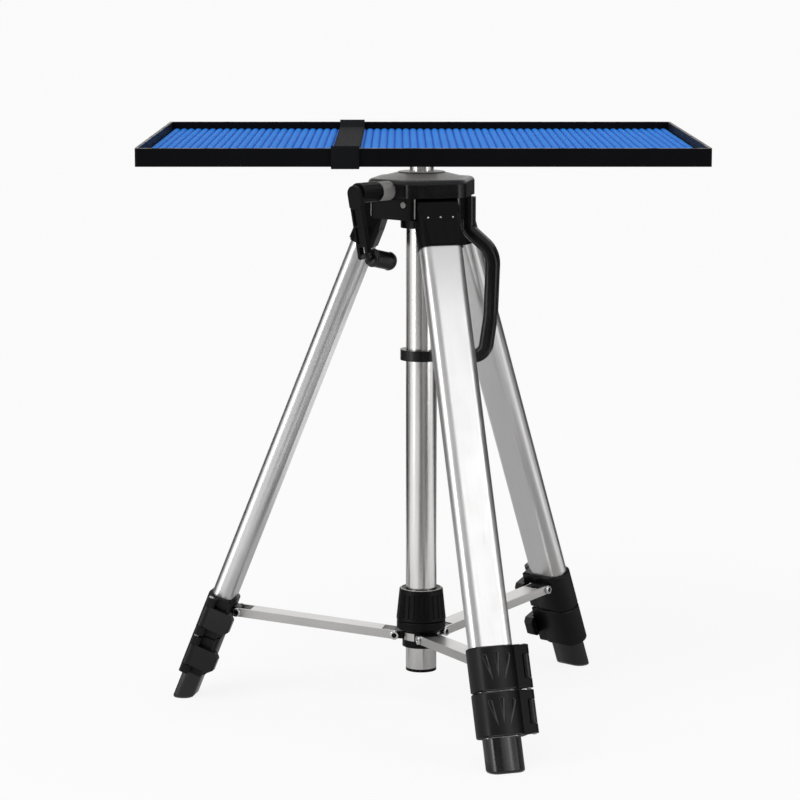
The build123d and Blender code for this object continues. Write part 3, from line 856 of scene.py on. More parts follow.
@dataclass
class Mat:
    """Ribbed foam mat in the tray.

    Attributes:
        pitch: Wished distance from rib to rib.
        rise: Height of a rib over its grooves.
        columns: Faces across one rib.
        fullness: Power that fills out a rib's crest.
        seat: Gap between the mat's underside and its bed.
    """

    pitch: float = 6.4 * MM
    rise: float = 1.5 * MM
    columns: int = 8
    fullness: float = 0.75
    seat: float = 0.05 * MM

    def build(self) -> bpy.types.Object:
        """Model one rib, repeat it across the tray and close the mat below.

        Returns:
            The mat.
        """
        low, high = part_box("tray_mat")
        width, depth = high.x - low.x, high.y - low.y
        count = round(width / self.pitch)
        pitch = width / count
        groove = high.z - self.rise
        piece = Workpiece.start(
            "mat_ribbed",
            bpy.ops.mesh.primitive_grid_add,
            x_subdivisions=self.columns,
            y_subdivisions=2,
            size=1.0,
            scale=(pitch, depth, 1.0),
            location=(low.x + pitch / 2, (low.y + high.y) / 2, groove),
        )
        with piece.edit():
            for column in range(1, self.columns):
                share = column / self.columns
                x = low.x + pitch * share
                piece.pick(Pick.POINTS, lambda at, _: abs(at.x - x) < pitch / self.columns / 3)
                lift = self.rise * math.sin(math.pi * share) ** self.fullness
                bpy.ops.transform.translate(value=(0.0, 0.0, lift))
        piece.modify(
            "ARRAY",
            count=count,
            use_relative_offset=False,
            use_constant_offset=True,
            constant_offset_displace=(pitch, 0.0, 0.0),
            use_merge_vertices=True,
            merge_threshold=pitch / 200,
        )
        with piece.edit():
            bpy.ops.mesh.select_mode(type="FACE")
            bpy.ops.mesh.select_all(action="SELECT")
            bpy.ops.mesh.region_to_loop()
            drop = {"value": (0.0, 0.0, low.z - high.z)}
            bpy.ops.mesh.extrude_region_move(TRANSFORM_OT_translate=drop)
            middle = (0.0, 0.0, low.z + self.seat)
            bpy.ops.transform.resize(value=(1.0, 1.0, 0.0), center_override=middle)
            bpy.ops.mesh.edge_face_add()
            bpy.ops.mesh.select_all(action="SELECT")
            bpy.ops.mesh.normals_make_consistent(inside=False)
        mat = piece.dress(MAT_FOAM, "tray_lift", 50.0)
        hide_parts("tray_mat")
        return mat


@dataclass
class Strap:
    """Webbing band round the tray.

    Attributes:
        bend: Radius of its bends.
        parting: Gap between its butted ends under the tray.
        half: Half the band's thickness in the solids.
        gap: Clearance over the mat.
        turn_in: Run over the rim before it slopes down to the mat.
        slope: Length of that slope across the tray.
        thickness: Thickness of the webbing.
        edge: Radius of its edges.
    """

    RUN = "band_run"

    bend: float = 2.2 * MM
    parting: float = 0.4 * MM
    half: float = 0.8 * MM
    gap: float = 0.3 * MM
    turn_in: float = 3.6 * MM
    slope: float = 12.0 * MM
    thickness: float = 1.5 * MM
    edge: float = 0.35 * MM

    def route(self) -> list[tuple[float, float]]:
        """Corners of the band's middle line in Y and Z, from end to end under the tray.

        Returns:
            The corners, in order.
        """
        low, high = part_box("tray_strap")
        pan_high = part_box("tray_pan")[1]
        mat_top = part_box("tray_mat")[1].z
        half = self.half
        middle = (low.y + high.y) / 2
        reach = (high.y - low.y) / 2 - half
        bed = mat_top + self.gap + half
        rim = reach - self.turn_in
        slope = rim - self.slope
        top = max(high.z, pan_high.z) - half
        side = [(reach, low.z + half), (reach, top), (rim, top), (slope, bed)]
        front = [(middle - y, z) for y, z in side]
        back = [(middle + y, z) for y, z in reversed(side)]
        ends = self.parting / 2
        return [(middle - ends, low.z + half), *front, *back, (middle + ends, low.z + half)]

    def build(self) -> bpy.types.Object:
        """Draw the band out along its route, round its bends and give it its thickness.

        Returns:
            The band.
        """
        low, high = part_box("tray_strap")
        width = high.x - low.x
        centre = (low.x + high.x) / 2
        route = self.route()
        runs = [math.dist(a, b) for a, b in zip(route, route[1:])]
        first, second = route[0], route[1]
        piece = Workpiece.start(
            "strap_band",
            bpy.ops.mesh.primitive_plane_add,
            size=1.0,
            scale=(width, runs[0], 1.0),
            location=(centre, (first[0] + second[0]) / 2, first[1]),
        )
        with piece.edit():
            piece.pick(Pick.EDGES, lambda at, _: abs(at.y - second[0]) < NEAR)
            for here, there in zip(route[1:], route[2:]):
                move = (0.0, there[0] - here[0], there[1] - here[1])
                bpy.ops.mesh.extrude_region_move(TRANSFORM_OT_translate={"value": move})
            inner = route[1:-1]
            piece.pick(
                Pick.EDGES,
                lambda at, way: abs(way.x) > 0.9
                and min(math.dist((at.y, at.z), corner) for corner in inner) < NEAR,
            )
            bpy.ops.mesh.bevel(offset=self.bend, segments=4, affect="EDGES", clamp_overlap=True)
            bpy.ops.mesh.select_all(action="SELECT")
            bpy.ops.mesh.normals_make_consistent(inside=False)
        self.mark(piece, centre, route, runs)
        length = self.measure(piece, width)
        piece.modify("SOLIDIFY", thickness=self.thickness, offset=0.0, use_even_offset=True)
        piece.soften(self.edge, 2, 60.0)
        band = piece.dress(WEBBING, "tray_lift", 40.0)
        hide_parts("tray_strap")
        return band

    def mark(
        self, piece: Workpiece, centre: float, route: list[tuple[float, float]], runs: list[float]
    ) -> None:
        """Store how far across and along the band each point lies, for the weave.

        Args:
            piece: The band before it is thickened.
            centre: X of its middle.
            route: Its corners.
            runs: Length of each run between corners.
        """
        marks = piece.thing.data.attributes.new(self.RUN, "FLOAT_VECTOR", "POINT")
        for point, mark in zip(piece.thing.data.vertices, marks.data):
            best = (math.inf, 0.0)
            passed = 0.0
            for (a, b), run in zip(zip(route, route[1:]), runs):
                start, way = Vector(a), (Vector(b) - Vector(a)) / run
                along = min(max((point.co.yz - start).dot(way), 0.0), run)
                best = min(best, ((start + way * along - point.co.yz).length, passed + along))
                passed += run
            mark.vector = (point.co.x - centre, best[1], 0.0)

    @staticmethod
    def measure(piece: Workpiece, width: float) -> float:
        """Return the band's length from its area before it is thickened."""
        return sum(face.area for face in piece.thing.data.polygons) / width


@dataclass
class Tray:
    """Tray, its socket and what lies in it.

    Attributes:
        layout: Shared places.
        mat: The foam mat.
        strap: The webbing band.
        screw_ring: Radius of the socket's ring of screws.
        screws: Screws in the ring.
        screw: Radius and height of a screw's head.
        flange: Thickness of the socket's flange.
    """

    layout: Layout
    mat: Mat = field(default_factory=Mat)
    strap: Strap = field(default_factory=Strap)
    screw_ring: float = 26.0 * MM
    screws: int = 4
    screw: tuple[float, float] = (4.2 * MM, 2.2 * MM)
    flange: float = 3.0 * MM

    def build(self) -> None:
        """Dress the tray's nodes and build its soft pieces and screws."""
        dress_nodes(TRAY_PAINT, "tray_pan")
        dress_nodes(METAL_GREY_AND_HIGHLIGHT, "tray_socket")
        dress_nodes(BRIGHT_TUBE, "centre_column")
        self.mat.build()
        self.strap.build()
        self.socket_screws()

    def socket_screws(self) -> bpy.types.Object:
        """Pan-head screws under the socket's flange.

        Returns:
            The screws.
        """
        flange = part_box("tray_socket")[1].z - self.flange
        screw = sunk_screw("socket_screws", *self.screw)
        seats = []
        for n in range(self.screws):
            ring = self.layout.round_axis((n + 0.5) * 360.0 / self.screws)
            seats.append(
                ring
                @ Matrix.Translation((self.screw_ring, 0.0, flange))
                @ Matrix.Rotation(math.pi, 4, "X")
            )
        return screw.placed(*seats).dress(METAL_GREY_AND_HIGHLIGHT, "tray_lift")


def sunk_screw(name: str, radius: float, height: float) -> Workpiece:
    """Pan-head screw with a sunk round drive, standing on the origin.

    Args:
        name: The piece's name.
        radius: Radius of its head.
        height: Height of its head.

    Returns:
        The screw's head.
    """
    screw = Workpiece.disc(name, radius, height, 36)
    with screw.edit():
        screw.pick(Pick.FACES, lambda at, normal: normal.z > 0.9)
        bpy.ops.mesh.inset(thickness=radius * DRIVE_INSET, depth=0.0)
        bpy.ops.mesh.inset(thickness=radius * DRIVE_WALL, depth=-height * DRIVE_DEPTH)
        rim = height * 0.95
        screw.pick(
            Pick.EDGES,
            lambda at, way: at.z > rim and at.xy.length > radius * 0.97 and abs(way.z) < 0.1,
        )
        bpy.ops.mesh.bevel(offset=height * HEAD_ROUND, segments=3, affect="EDGES")
    return screw


@dataclass
class Spider:
    """Head that carries the legs, with its cap, dome and the tube below.

    Attributes:
        layout: Shared places.
        pillar_radius: Distance of the pillars' faces from the axis.
        slot_half: Half the width of a leg's slot.
        bead: Radius of the beads along the slots' edges.
        collar_radius: Radius of the dark collar on the dome.
        collar_height: Height of that collar.
        collar_gap: Clearance round the column.
        bead_rise: Height of the beads' lower ends over the body's.
        bead_gap: Gap between the beads and the cap.
        screw: Radius and height of a pillar's screw.
        screw_aside: Place of that screw across its pillar.
        screw_rise: Its height over the hinge.
    """

    layout: Layout
    pillar_radius: float = 39.0 * MM
    slot_half: float = 18.1 * MM
    bead: float = 0.7 * MM
    collar_radius: float = 20.0 * MM
    collar_height: float = 0.9 * MM
    collar_gap: float = 0.4 * MM
    bead_rise: float = 10.5 * MM
    bead_gap: float = 0.3 * MM
    screw: tuple[float, float] = (2.6 * MM, 1.4 * MM)
    screw_aside: float = 14.5 * MM
    screw_rise: float = 4.0 * MM

    def build(self) -> None:
        """Dress the head's nodes and add its collar, beads and screws."""
        dress_nodes(BLACK_PLASTIC, "spider_body", "tube_plug")
        dress_nodes(SATIN_BLACK, "spider_cap", "carry_handle")
        # The dome's light grey is a painted reflection of bright surroundings on its glossy top
        dress_nodes(METAL_GREY_AND_HIGHLIGHT, "spider_dome", "crank_boss")
        dress_nodes(BRIGHT_TUBE, "centre_tube")
        self.dome_collar()
        self.slot_beads()
        self.pillar_screws()

    def dome_collar(self) -> bpy.types.Object:
        """Dark collar round the column on top of the dome.

        Returns:
            The collar.
        """
        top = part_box("spider_dome")[1].z
        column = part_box("centre_column")
        bore = (column[1].x - column[0].x) / 2 + self.collar_gap
        collar = Workpiece.disc("dome_collar", self.collar_radius, self.collar_height, 64)
        with collar.edit():
            collar.pick(Pick.FACES, lambda at, normal: abs(normal.z) > 0.9)
            bpy.ops.mesh.inset(thickness=self.collar_radius - bore, depth=0.0)
            bpy.ops.mesh.bridge_edge_loops()
            inside = self.collar_radius * 0.97
            below = self.collar_height * 0.9
            collar.pick(Pick.EDGES, lambda at, _: at.z > below and at.xy.length > inside)
            bpy.ops.mesh.bevel(offset=self.collar_height * 0.6, segments=3, affect="EDGES")
            bpy.ops.mesh.select_all(action="SELECT")
            bpy.ops.mesh.normals_make_consistent(inside=False)
        seat = Matrix.Translation(self.layout.axis + Vector((0.0, 0.0, top)))
        return collar.placed(seat).dress(SATIN_BLACK, "spider")

    def slot_beads(self) -> bpy.types.Object:
        """Beads along the edges of the leg slots, light grey to paint the highlight where these edges catch
        light.

        Returns:
            The beads.
        """
        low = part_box("spider_body")[0].z + self.bead_rise
        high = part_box("spider_cap")[0].z - self.bead_gap
        bead = Workpiece.disc("slot_beads", self.bead, high - low, 12)
        bead.soften(self.bead * 0.6, 3, 50.0)
        seats = []
        for azimuth in self.layout.azimuths:
            for side in (-1, 1):
                place = (self.pillar_radius, side * (self.slot_half + self.bead * 1.4), low)
                seats.append(self.layout.round_axis(azimuth) @ Matrix.Translation(place))
        # Light grey paints the highlight on the slot edges
        return bead.placed(*seats).dress(METAL_GREY_AND_HIGHLIGHT, "spider")

    def pillar_screws(self) -> bpy.types.Object:
        """Screw that clamps a leg's hinge, on the outer face of each free pillar.

        Returns:
            The screws.
        """
        screw = sunk_screw("pillar_screws", *self.screw)
        height = self.layout.hinge_height + self.screw_rise
        seats = []
        place = Matrix.Translation((self.pillar_radius, self.screw_aside, height))
        for azimuth in self.layout.azimuths[1:]:
            pillar = self.layout.round_axis(azimuth + self.layout.half_turn)
            seats.append(pillar @ place @ OUTWARD)
        return screw.placed(*seats).dress(METAL_GREY_AND_HIGHLIGHT, "spider")


@dataclass
class Crank:
    """Crank that lifts the column.

    Attributes:
        azimuth: Direction of its shaft, in degrees.
        lean: Lean of the arm, in degrees.
        arm_half: Half the arm's width.
        grip_start: Where the grip's barrel starts, inward of the pin.
        grip_end: Where the barrel ends.
        grip_radius: Radius of the barrel.
        grip_drop: Droop of the grip, in degrees.
        pin: Radius and height of the pin's heads.
        pin_sink: How deep a head sits in the arm.
        ring_bead: Radius of a ring's bead.
        ring_stretch: Bead's length along the grip over its height.
        ring_margin: Distance of a ring from the barrel's end.
    """

    azimuth: float = -131.8
    lean: float = 12.0
    arm_half: float = 5.7 * MM
    grip_start: float = 5.5 * MM
    grip_end: float = 32.0 * MM
    grip_radius: float = 7.4 * MM
    grip_drop: float = 13.0
    pin: tuple[float, float] = (2.5 * MM, 1.1 * MM)
    pin_sink: float = 0.05 * MM
    ring_bead: float = 0.5 * MM
    ring_stretch: float = 1.5
    ring_margin: float = 3.6 * MM

    def pivot(self) -> Matrix:
        """Frame at the grip's pin, X outward along the shaft and -Z along the arm."""
        turn = Matrix.Rotation(math.radians(self.azimuth), 4, "Z")
        lean = Matrix.Rotation(math.radians(self.lean), 4, "X")
        return Matrix.Translation(joint_point("crank_grip_fold")) @ turn @ lean

    def build(self) -> None:
        """Dress the crank's nodes and add its pin heads and grip rings."""
        dress_nodes(BLACK_PLASTIC, "crank_hub", "crank_arm")
        dress_nodes(GLOSS_BLACK, "crank_grip")
        pivot = self.pivot()
        head = Workpiece.button("crank_pin_heads", *self.pin)
        ends = both_faces(pivot, self.arm_half - self.pin_sink)
        head.placed(*ends).dress(SATIN_BLACK, "crank")
        self.grip_rings(pivot)

    def grip_rings(self, pivot: Matrix) -> bpy.types.Object:
        """Raised rings round the grip's barrel.

        Args:
            pivot: Frame at the grip's pin.

        Returns:
            The rings.
        """
        ring = Workpiece.start(
            "grip_rings",
            bpy.ops.mesh.primitive_torus_add,
            major_radius=self.grip_radius,
            minor_radius=self.ring_bead,
            major_segments=40,
            minor_segments=8,
        )
        with ring.edit():
            bpy.ops.mesh.select_all(action="SELECT")
            bpy.ops.transform.resize(value=(1.0, 1.0, self.ring_stretch))
        turned = pivot @ Matrix.Rotation(math.radians(-self.grip_drop), 4, "Y")
        seats = []
        for place in (self.grip_start + self.ring_margin, self.grip_end - self.ring_margin):
            seats.append(turned @ Matrix.Translation((-place, 0.0, 0.0)) @ OUTWARD)
        return ring.placed(*seats).dress(GLOSS_BLACK, "crank_grip", 60.0)


@dataclass
class Brace:
    """Spreader under the legs: hub, twist lock and arms.

    Attributes:
        layout: Shared places.
        head_seat: Distance of a rivet cap's base from the arm's middle.
        head_radius: Radius of a cap.
        head_height: Height of a cap.
        sleeve_radius: Radius of the hub's sleeve.
        window: Height of the sleeve's windows.
        window_lift: How far a window stands out of the sleeve.
        window_depth: How deep it sits in it.
        window_turn: Half the angle that a window spans, in degrees.
        rim_radius: Radius of the twist lock's upper rim.
        rim_bead: Radius of the bead on that rim.
    """

    layout: Layout
    head_seat: float = 9.3 * MM
    head_radius: float = 3.9 * MM
    head_height: float = 1.9 * MM
    sleeve_radius: float = 16.2 * MM
    window: float = 6.5 * MM
    window_lift: float = 0.1 * MM
    window_depth: float = 1.0 * MM
    window_turn: float = 20.0
    rim_radius: float = 17.2 * MM
    rim_bead: float = 0.45 * MM

    def build(self) -> None:
        """Dress the brace's nodes, cap its rivets and add the hub's windows and the lock's rim."""
        dress_nodes(BLACK_PLASTIC, "brace_hub", "brace_knob")
        for number in (1, 2, 3):
            inner = joint_point(f"brace_arm_{number}_swing")
            outer = joint_point(f"leg_{number}_fold")
            way = (outer - inner).normalized().to_track_quat("Z", "Y").to_matrix().to_4x4()
            dress_nodes(laid(BRACE_METAL, number, way), f"brace_arm_{number}")
            cap = self.cap(f"leg_rivet_caps_{number}")
            cap.placed(*self.ends(number, outer)).dress(BRIGHT_RIVET, f"leg_{number}")
        caps = self.cap("hub_rivet_caps")
        seats = []
        for number in (1, 2, 3):
            seats.extend(self.ends(number, joint_point(f"brace_arm_{number}_swing")))
        caps.placed(*seats).dress(BRIGHT_RIVET, "brace_hub")
        self.hub_windows()
        self.knob_rim()

    def hub_windows(self) -> bpy.types.Object:
        """Bright metal that shows in the hub's sleeve between the arms.

        Returns:
            The windows.
        """
        piece = Workpiece.disc("hub_windows", self.sleeve_radius + self.window_lift, self.window, 96)
        half = math.radians(self.window_turn)
        with piece.edit():
            for side in (-1, 1):
                bpy.ops.mesh.select_all(action="SELECT")
                normal = (math.sin(half), -side * math.cos(half), 0.0)
                bpy.ops.mesh.bisect(
                    plane_co=(0, 0, 0), plane_no=normal, use_fill=True, clear_inner=True
                )
            bpy.ops.mesh.select_all(action="SELECT")
            inner = (self.sleeve_radius - self.window_depth, 0.0, 0.0)
            bpy.ops.mesh.bisect(plane_co=inner, plane_no=(1, 0, 0), use_fill=True, clear_inner=True)
            bpy.ops.mesh.select_all(action="SELECT")
            bpy.ops.mesh.normals_make_consistent(inside=False)
        low = joint_point("brace_arm_1_swing").z - self.window / 2
        seats = []
        for azimuth in self.layout.azimuths:
            between = self.layout.round_axis(azimuth - self.layout.half_turn)
            seats.append(between @ Matrix.Translation((0.0, 0.0, low)))
        return piece.placed(*seats).dress(BRIGHT_TUBE, "brace_hub")

    def knob_rim(self) -> bpy.types.Object:
        """Light grey bead round the twist lock's upper rim, a painted highlight on that rim.

        Returns:
            The bead.
        """
        ring = Workpiece.start(
            "knob_rim",
            bpy.ops.mesh.primitive_torus_add,
            major_radius=self.rim_radius,
            minor_radius=self.rim_bead,
            major_segments=64,
            minor_segments=10,
        )
        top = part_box("brace_knob")[1].z
        seat = Matrix.Translation(self.layout.axis + Vector((0.0, 0.0, top)))
        # Light grey paints the highlight on the knob's rim
        return ring.placed(seat).dress(METAL_GREY_AND_HIGHLIGHT, "brace_knob", 60.0)

    def cap(self, name: str) -> Workpiece:
        """Return one hollow rivet's cap."""
        return sunk_screw(name, self.head_radius, self.head_height)

    def ends(self, number: int, pivot: Vector) -> list[Matrix]:
        """Seats of the two caps at a pivot.

        Args:
            number: The arm's leg.
            pivot: The pivot's middle.

        Returns:
            One frame for each side.
        """
        turn = Matrix.Rotation(math.radians(self.layout.azimuths[number - 1]), 4, "Z")
        return both_faces(Matrix.Translation(pivot) @ turn, self.head_seat)


@dataclass
class Leg:
    """One leg: bracket, three tubes, two clamps with their levers, and the foot.

    Attributes:
        layout: Shared places.
        number: The leg, from 1.
        clamp_tops: Distance of each clamp's top from the hinge.
        clamp_length: Length of a clamp.
        pin: Place of the levers' pins across the leg.
        pin_head: Radius and height of a pin's head.
        pin_sink: How deep a head sits in the clamp.
        bracket_front: Distance of the bracket's front from the leg's axis.
        bracket_slope: How far that front leans out, over the length given second.
        shield: Thickness, width and height of the bracket's shield.
        shield_drop: Distance of its top from the hinge.
        shield_taper: Its lower width over its upper width.
        shield_edge: Radius of its edges.
        flute: Margin round a flute and its depth.
        dot: Radius and height of a stud.
        dot_pitch: Distance from stud to stud.
        dot_drop: Distance of the studs from the hinge.
    """

    layout: Layout
    number: int
    clamp_tops: tuple[float, float] = (368.0 * MM, 404.7 * MM)
    clamp_length: float = 36.0 * MM
    pin: tuple[float, float] = (5.5 * MM, 26.5 * MM)
    pin_head: tuple[float, float] = (2.4 * MM, 1.0 * MM)
    pin_sink: float = 0.5 * MM
    bracket_front: float = 9.0 * MM
    bracket_slope: tuple[float, float] = (0.95 * MM, 22.0 * MM)
    shield: Triple = (2.2 * MM, 29.0 * MM, 20.0 * MM)
    shield_drop: float = 13.0 * MM
    shield_taper: float = 0.82
    shield_edge: float = 0.3 * MM
    flute: tuple[float, float] = (1.7 * MM, 0.5 * MM)
    dot: tuple[float, float] = (0.95 * MM, 0.8 * MM)
    dot_pitch: float = 10.8 * MM
    dot_drop: float = 9.6 * MM

    def build(self) -> None:
        """Dress the leg's nodes and add its small pieces."""
        n = self.number
        seat = self.layout.leg(n)
        dress_nodes(laid(LEG_METAL, n, seat), f"leg_tube_{n}", f"middle_tube_{n}", f"lower_tube_{n}")
        dress_nodes(BLACK_PLASTIC, f"leg_bracket_{n}")
        dress_nodes(laid(CLAMP_PLASTIC, n, seat), f"upper_clamp_{n}", f"lower_clamp_{n}")
        dress_nodes(GLOSS_BLACK, f"upper_lever_{n}", f"lower_lever_{n}")
        dress_nodes(laid(FOOT_RUBBER, n, seat), f"foot_{n}")
        self.bracket_face()
        self.bracket_dots()
        for name, top, body in (
            ("upper", self.clamp_tops[0], f"leg_{n}"),
            ("lower", self.clamp_tops[1], f"leg_middle_{n}"),
        ):
            self.pin_heads(name, top, body)

    def bracket_frame(self) -> Matrix:
        """Frame on the bracket's sloping front, X out of it."""
        tilt = Matrix.Rotation(math.atan2(*self.bracket_slope), 4, "Y").inverted()
        front = Matrix.Translation((self.bracket_front, 0.0, 0.0))
        return self.layout.leg(self.number) @ front @ tilt

    def bracket_face(self) -> bpy.types.Object:
        """Thin shield on the bracket's front with three sunk flutes.

        Returns:
            The shield.
        """
        _, wide, tall = self.shield
        middle = -(self.shield_drop + tall / 2)
        face = Workpiece.block(f"bracket_shield_{self.number}", self.shield, (0.0, 0.0, middle))
        with face.edit():
            face.pick(Pick.POINTS, lambda at, _: at.z < middle)
            bpy.ops.transform.resize(value=(1.0, self.shield_taper, 1.0))
            for cut in (-wide / 6, wide / 6):
                bpy.ops.mesh.select_all(action="SELECT")
                bpy.ops.mesh.bisect(plane_co=(0.0, cut, 0.0), plane_no=(0.0, 1.0, 0.0))
            for third in (-1, 0, 1):
                face.pick(
                    Pick.FACES,
                    lambda at, normal: normal.x > 0.9 and abs(at.y - third * wide / 3) < wide / 8,
                )
                bpy.ops.mesh.inset(thickness=self.flute[0], depth=-self.flute[1])
        face.soften(self.shield_edge, 2, 25.0)
        return face.placed(self.bracket_frame()).dress(BLACK_PLASTIC, f"leg_{self.number}")

    def bracket_dots(self) -> bpy.types.Object:
        """Three small bright studs above the flutes.

        Returns:
            The studs.
        """
        dot = Workpiece.button(f"bracket_dots_{self.number}", *self.dot, 16)
        front = self.bracket_frame()
        seats = []
        for side in (-1, 0, 1):
            place = Matrix.Translation((-NEAR, side * self.dot_pitch, -self.dot_drop))
            seats.append(front @ place @ OUTWARD)
        return dot.placed(*seats).dress(BRIGHT_RIVET, f"leg_{self.number}")

    def pin_heads(self, name: str, top: float, body: str) -> bpy.types.Object:
        """Heads of a lever's pin above and below the clamp's ears.

        Args:
            name: Upper or lower.
            top: Distance of the clamp's top from the hinge.
            body: The body that carries the clamp.

        Returns:
            The heads.
        """
        head = Workpiece.button(f"{name}_pin_heads_{self.number}", *self.pin_head)
        leg = self.layout.leg(self.number)
        above = Matrix.Translation((*self.pin, -(top + self.pin_sink)))
        below = Matrix.Translation((*self.pin, -(top + self.clamp_length - self.pin_sink)))
        flip = Matrix.Rotation(math.pi, 4, "X")
        return head.placed(leg @ above, leg @ below @ flip).dress(METAL_GREY_AND_HIGHLIGHT, body)


@dataclass
class Studio:
    """Floor, light and camera.

    Attributes:
        lens: Focal length on a 36 mm sensor.
        eye: Camera's place.
        pitch: Camera's tilt below level, in degrees.
        fill: World's light on the object.
        key: Soft sun's strength.
        sun_spread: Angle over which the sun is spread, in degrees.
        sun_turn: Its tilt from overhead and its turn, in degrees.
        panels: Power of the left and the right panel.
        panel_size: Width and height of a panel.
        panel_place: Right panel's middle.
        panel_aim: Point that the panels face.
        floor_reach: Floor's radius, and the width of its outer ring.
        floor_tone: Floor's grey.
        floor_glow: Share of plain white in the floor that is seen.
    """

    lens: float = 130.86
    eye: Triple = (-0.0182, -2.43243, 0.6456)
    pitch: float = 8.76
    fill: float = 0.55
    key: float = 0.9
    sun_spread: float = 40.0
    sun_turn: tuple[float, float] = (42.0, -28.0)
    panels: tuple[float, float] = (9.0, 6.0)
    panel_size: tuple[float, float] = (0.5, 1.6)
    panel_place: Triple = (1.7, -1.1, 0.75)
    panel_aim: Triple = (0.0, 0.0, 0.3)
    floor_reach: tuple[float, float] = (45.0, 40.0)
    floor_tone: float = 0.93
    floor_glow: float = 0.86

    def build(self) -> None:
        """Make the floor, the light and the camera."""
        self.floor()
        self.world()
        self.lamps()
        self.cards()
        self.camera()
        bpy.context.scene.view_settings.view_transform = "Standard"

    def floor(self) -> None:
        """Wide pale floor that keeps the object's shadow."""
        radius, ring = self.floor_reach
        sizes = {"radius": radius, "vertices": 96, "fill_type": "NGON"}
        piece = Workpiece.start("floor", bpy.ops.mesh.primitive_circle_add, **sizes)
        with piece.edit():
            bpy.ops.mesh.select_all(action="SELECT")
            bpy.ops.mesh.inset(thickness=ring, depth=0.0)
        made = bpy.data.materials.new("pale_floor")
        made.use_nodes = True
        book = NodeBook(made.node_tree)
        seen = self.seen(book)
        tone = self.floor_tone
        matte = book.node("ShaderNodeBsdfDiffuse", {}, {"Color": (tone, tone, tone, 1.0)})
        glow = book.node("ShaderNodeEmission", {}, {"Color": WHITE, "Strength": 1.0})
        mixed = book.node("ShaderNodeMixShader", {}, {0: seen * self.floor_glow, 1: matte, 2: glow})
        book.node("ShaderNodeOutputMaterial", {}, {"Surface": mixed})
        piece.thing.data.materials.append(made)

    @staticmethod
    def seen(book: NodeBook) -> Value:
        """Return 1 for rays that show the background."""
        path = book.node("ShaderNodeLightPath", {}, {}, "Is Camera Ray")
        rays = path.socket.node.outputs
        shiny = Value(book, rays["Is Glossy Ray"])
        clear = Value(book, rays["Is Transmission Ray"])
        return (path + shiny + clear).math("MINIMUM", 1.0)

    def world(self) -> None:
        """Even white surroundings that light the object less than they show."""
        world = bpy.data.worlds.new("white_room")
        world.use_nodes = True
        bpy.context.scene.world = world
        book = NodeBook(world.node_tree)
        strength = self.seen(book) * (1.0 - self.fill) + self.fill
        inputs = {"Color": WHITE, "Strength": strength}
        book.node("ShaderNodeOutputWorld", {}, {"Surface": book.node("ShaderNodeBackground", {}, inputs)})

    def lamps(self) -> None:
        """One soft sun from the upper left front, and a tall soft panel on each side."""
        sun = bpy.data.lights.new("soft_sun", "SUN")
        sun.energy = self.key
        sun.angle = math.radians(self.sun_spread)
        holder = bpy.data.objects.new("soft_sun", sun)
        tilt, turn = (math.radians(angle) for angle in self.sun_turn)
        holder.rotation_euler = (tilt, 0.0, turn)
        bpy.context.scene.collection.objects.link(holder)
        for side, name, power in zip((-1, 1), ("left", "right"), self.panels):
            panel = bpy.data.lights.new(f"side_panel_{name}", "AREA")
            panel.shape = "RECTANGLE"
            panel.size, panel.size_y = self.panel_size
            panel.energy = power
            stand = bpy.data.objects.new(panel.name, panel)
            place = Vector(self.panel_place)
            place.x *= side
            stand.location = place
            facing = Vector(self.panel_aim) - place
            stand.rotation_euler = facing.to_track_quat("-Z", "Y").to_euler()
            bpy.context.scene.collection.objects.link(stand)

    def cards(self) -> None:
        """Hang grey and white glowing cards that only shiny surfaces see: painted reflections, dark ones
        for shade and bright ones for light.
        """
        self.card("front_card", (1.0, 0.01, 1.5), (0.0, -1.75, 0.75), 0.12)
        self.card("front_left_card", (1.4, 0.01, 2.7), (-1.2, -1.75, 1.4), 0.05)
        self.card("front_upper_card", (1.15, 0.01, 1.25), (0.075, -1.75, 2.125), 0.05)
        self.card("front_right_card", (1.3, 0.01, 0.75), (1.2, -1.75, 0.375), 0.05)
        self.card("front_right_floor_card", (1.2, 1.3, 0.001), (0.95, -1.1, 0.002), 0.06)
        self.card("back_right_card", (0.9, 0.01, 0.9), (1.0, 2.1, 0.45), 0.06)
        self.card("front_floor_card", (0.5, 1.3, 0.001), (0.0, -1.1, 0.002), 0.2)
        # Painted shadow under the stand, seen only in reflections
        self.card("under_card_left", (0.45, 0.8, 0.001), (-0.2, 0.15, 0.002), 0.45)
        self.card("under_card_right", (0.4, 0.8, 0.001), (0.23, 0.15, 0.002), 0.3)
        # Glowing strip, no lamp: a painted highlight on the front leg, foot and clamps
        self.card("leg_strip_card", (0.16, 0.01, 0.6), (1.36, -1.75, 1.33), 4.0)
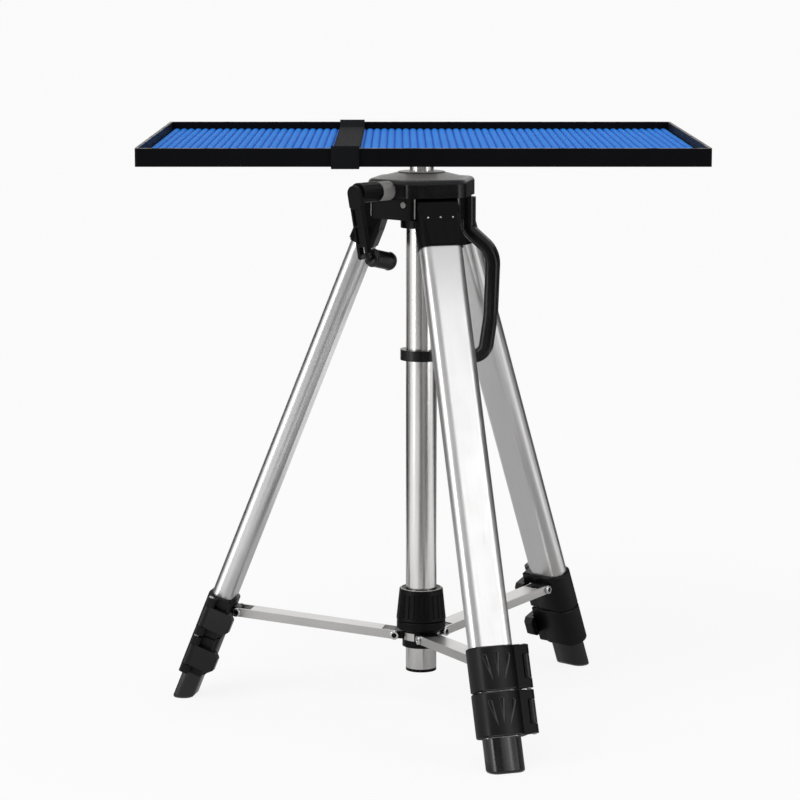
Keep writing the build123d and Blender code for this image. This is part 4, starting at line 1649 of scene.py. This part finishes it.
        # Glowing sheet under the tray, where there is shade: a painted reflection on the dome and neck
        self.card("tray_card", (0.4, 0.34, 0.0005), (0.0, 0.0, 0.4755), 0.75)
        self.card("side_front_card", (0.01, 0.8, 1.7), (1.25, -0.35, 1.25), 0.04)
        for side, name in ((-1, "left"), (1, "right")):
            self.card(f"side_card_{name}", (0.01, 2.0, 2.4), (side * 1.25, 1.05, 0.9), 0.06)
            self.card(f"side_floor_card_{name}", (0.8, 1.7, 0.001), (side * 0.85, 1.15, 0.002), 0.06)

    @staticmethod
    def card(name: str, size: Triple, at: Triple, shade: float) -> None:
        """Add a glowing card that only shiny surfaces see, as a painted reflection.

        Args:
            name: The card's name.
            size: Its size.
            at: Its middle.
            shade: Its brightness, where 1 is white.
        """
        piece = Workpiece.block(name, size, at)
        made = bpy.data.materials.new(name)
        made.use_nodes = True
        book = NodeBook(made.node_tree)
        glow = book.node("ShaderNodeEmission", {}, {"Color": (shade, shade, shade, 1.0), "Strength": 1.0})
        book.node("ShaderNodeOutputMaterial", {}, {"Surface": glow})
        piece.thing.data.materials.append(made)
        for ray in ("camera", "diffuse", "shadow", "transmission", "volume_scatter"):
            setattr(piece.thing, f"visible_{ray}", False)

    def camera(self) -> None:
        """Camera at the photograph's viewing angle."""
        lens = bpy.data.cameras.new("camera")
        lens.lens = self.lens
        lens.sensor_width = 36.0
        lens.sensor_fit = "HORIZONTAL"
        lens.clip_end = 200.0
        holder = bpy.data.objects.new("camera", lens)
        holder.location = self.eye
        holder.rotation_euler = (math.radians(90.0 - self.pitch), 0.0, 0.0)
        bpy.context.scene.collection.objects.link(holder)
        bpy.context.scene.camera = holder


def main() -> None:
    """Build the stand's looks, sub-assembly by sub-assembly."""
    logging.basicConfig(level=logging.INFO, format="%(name)s: %(message)s")
    layout = Layout()
    Tray(layout).build()
    Spider(layout).build()
    Crank().build()
    Brace(layout).build()
    for number in (1, 2, 3):
        Leg(layout, number).build()
    Studio().build()


if __name__ == "__main__":
    main()
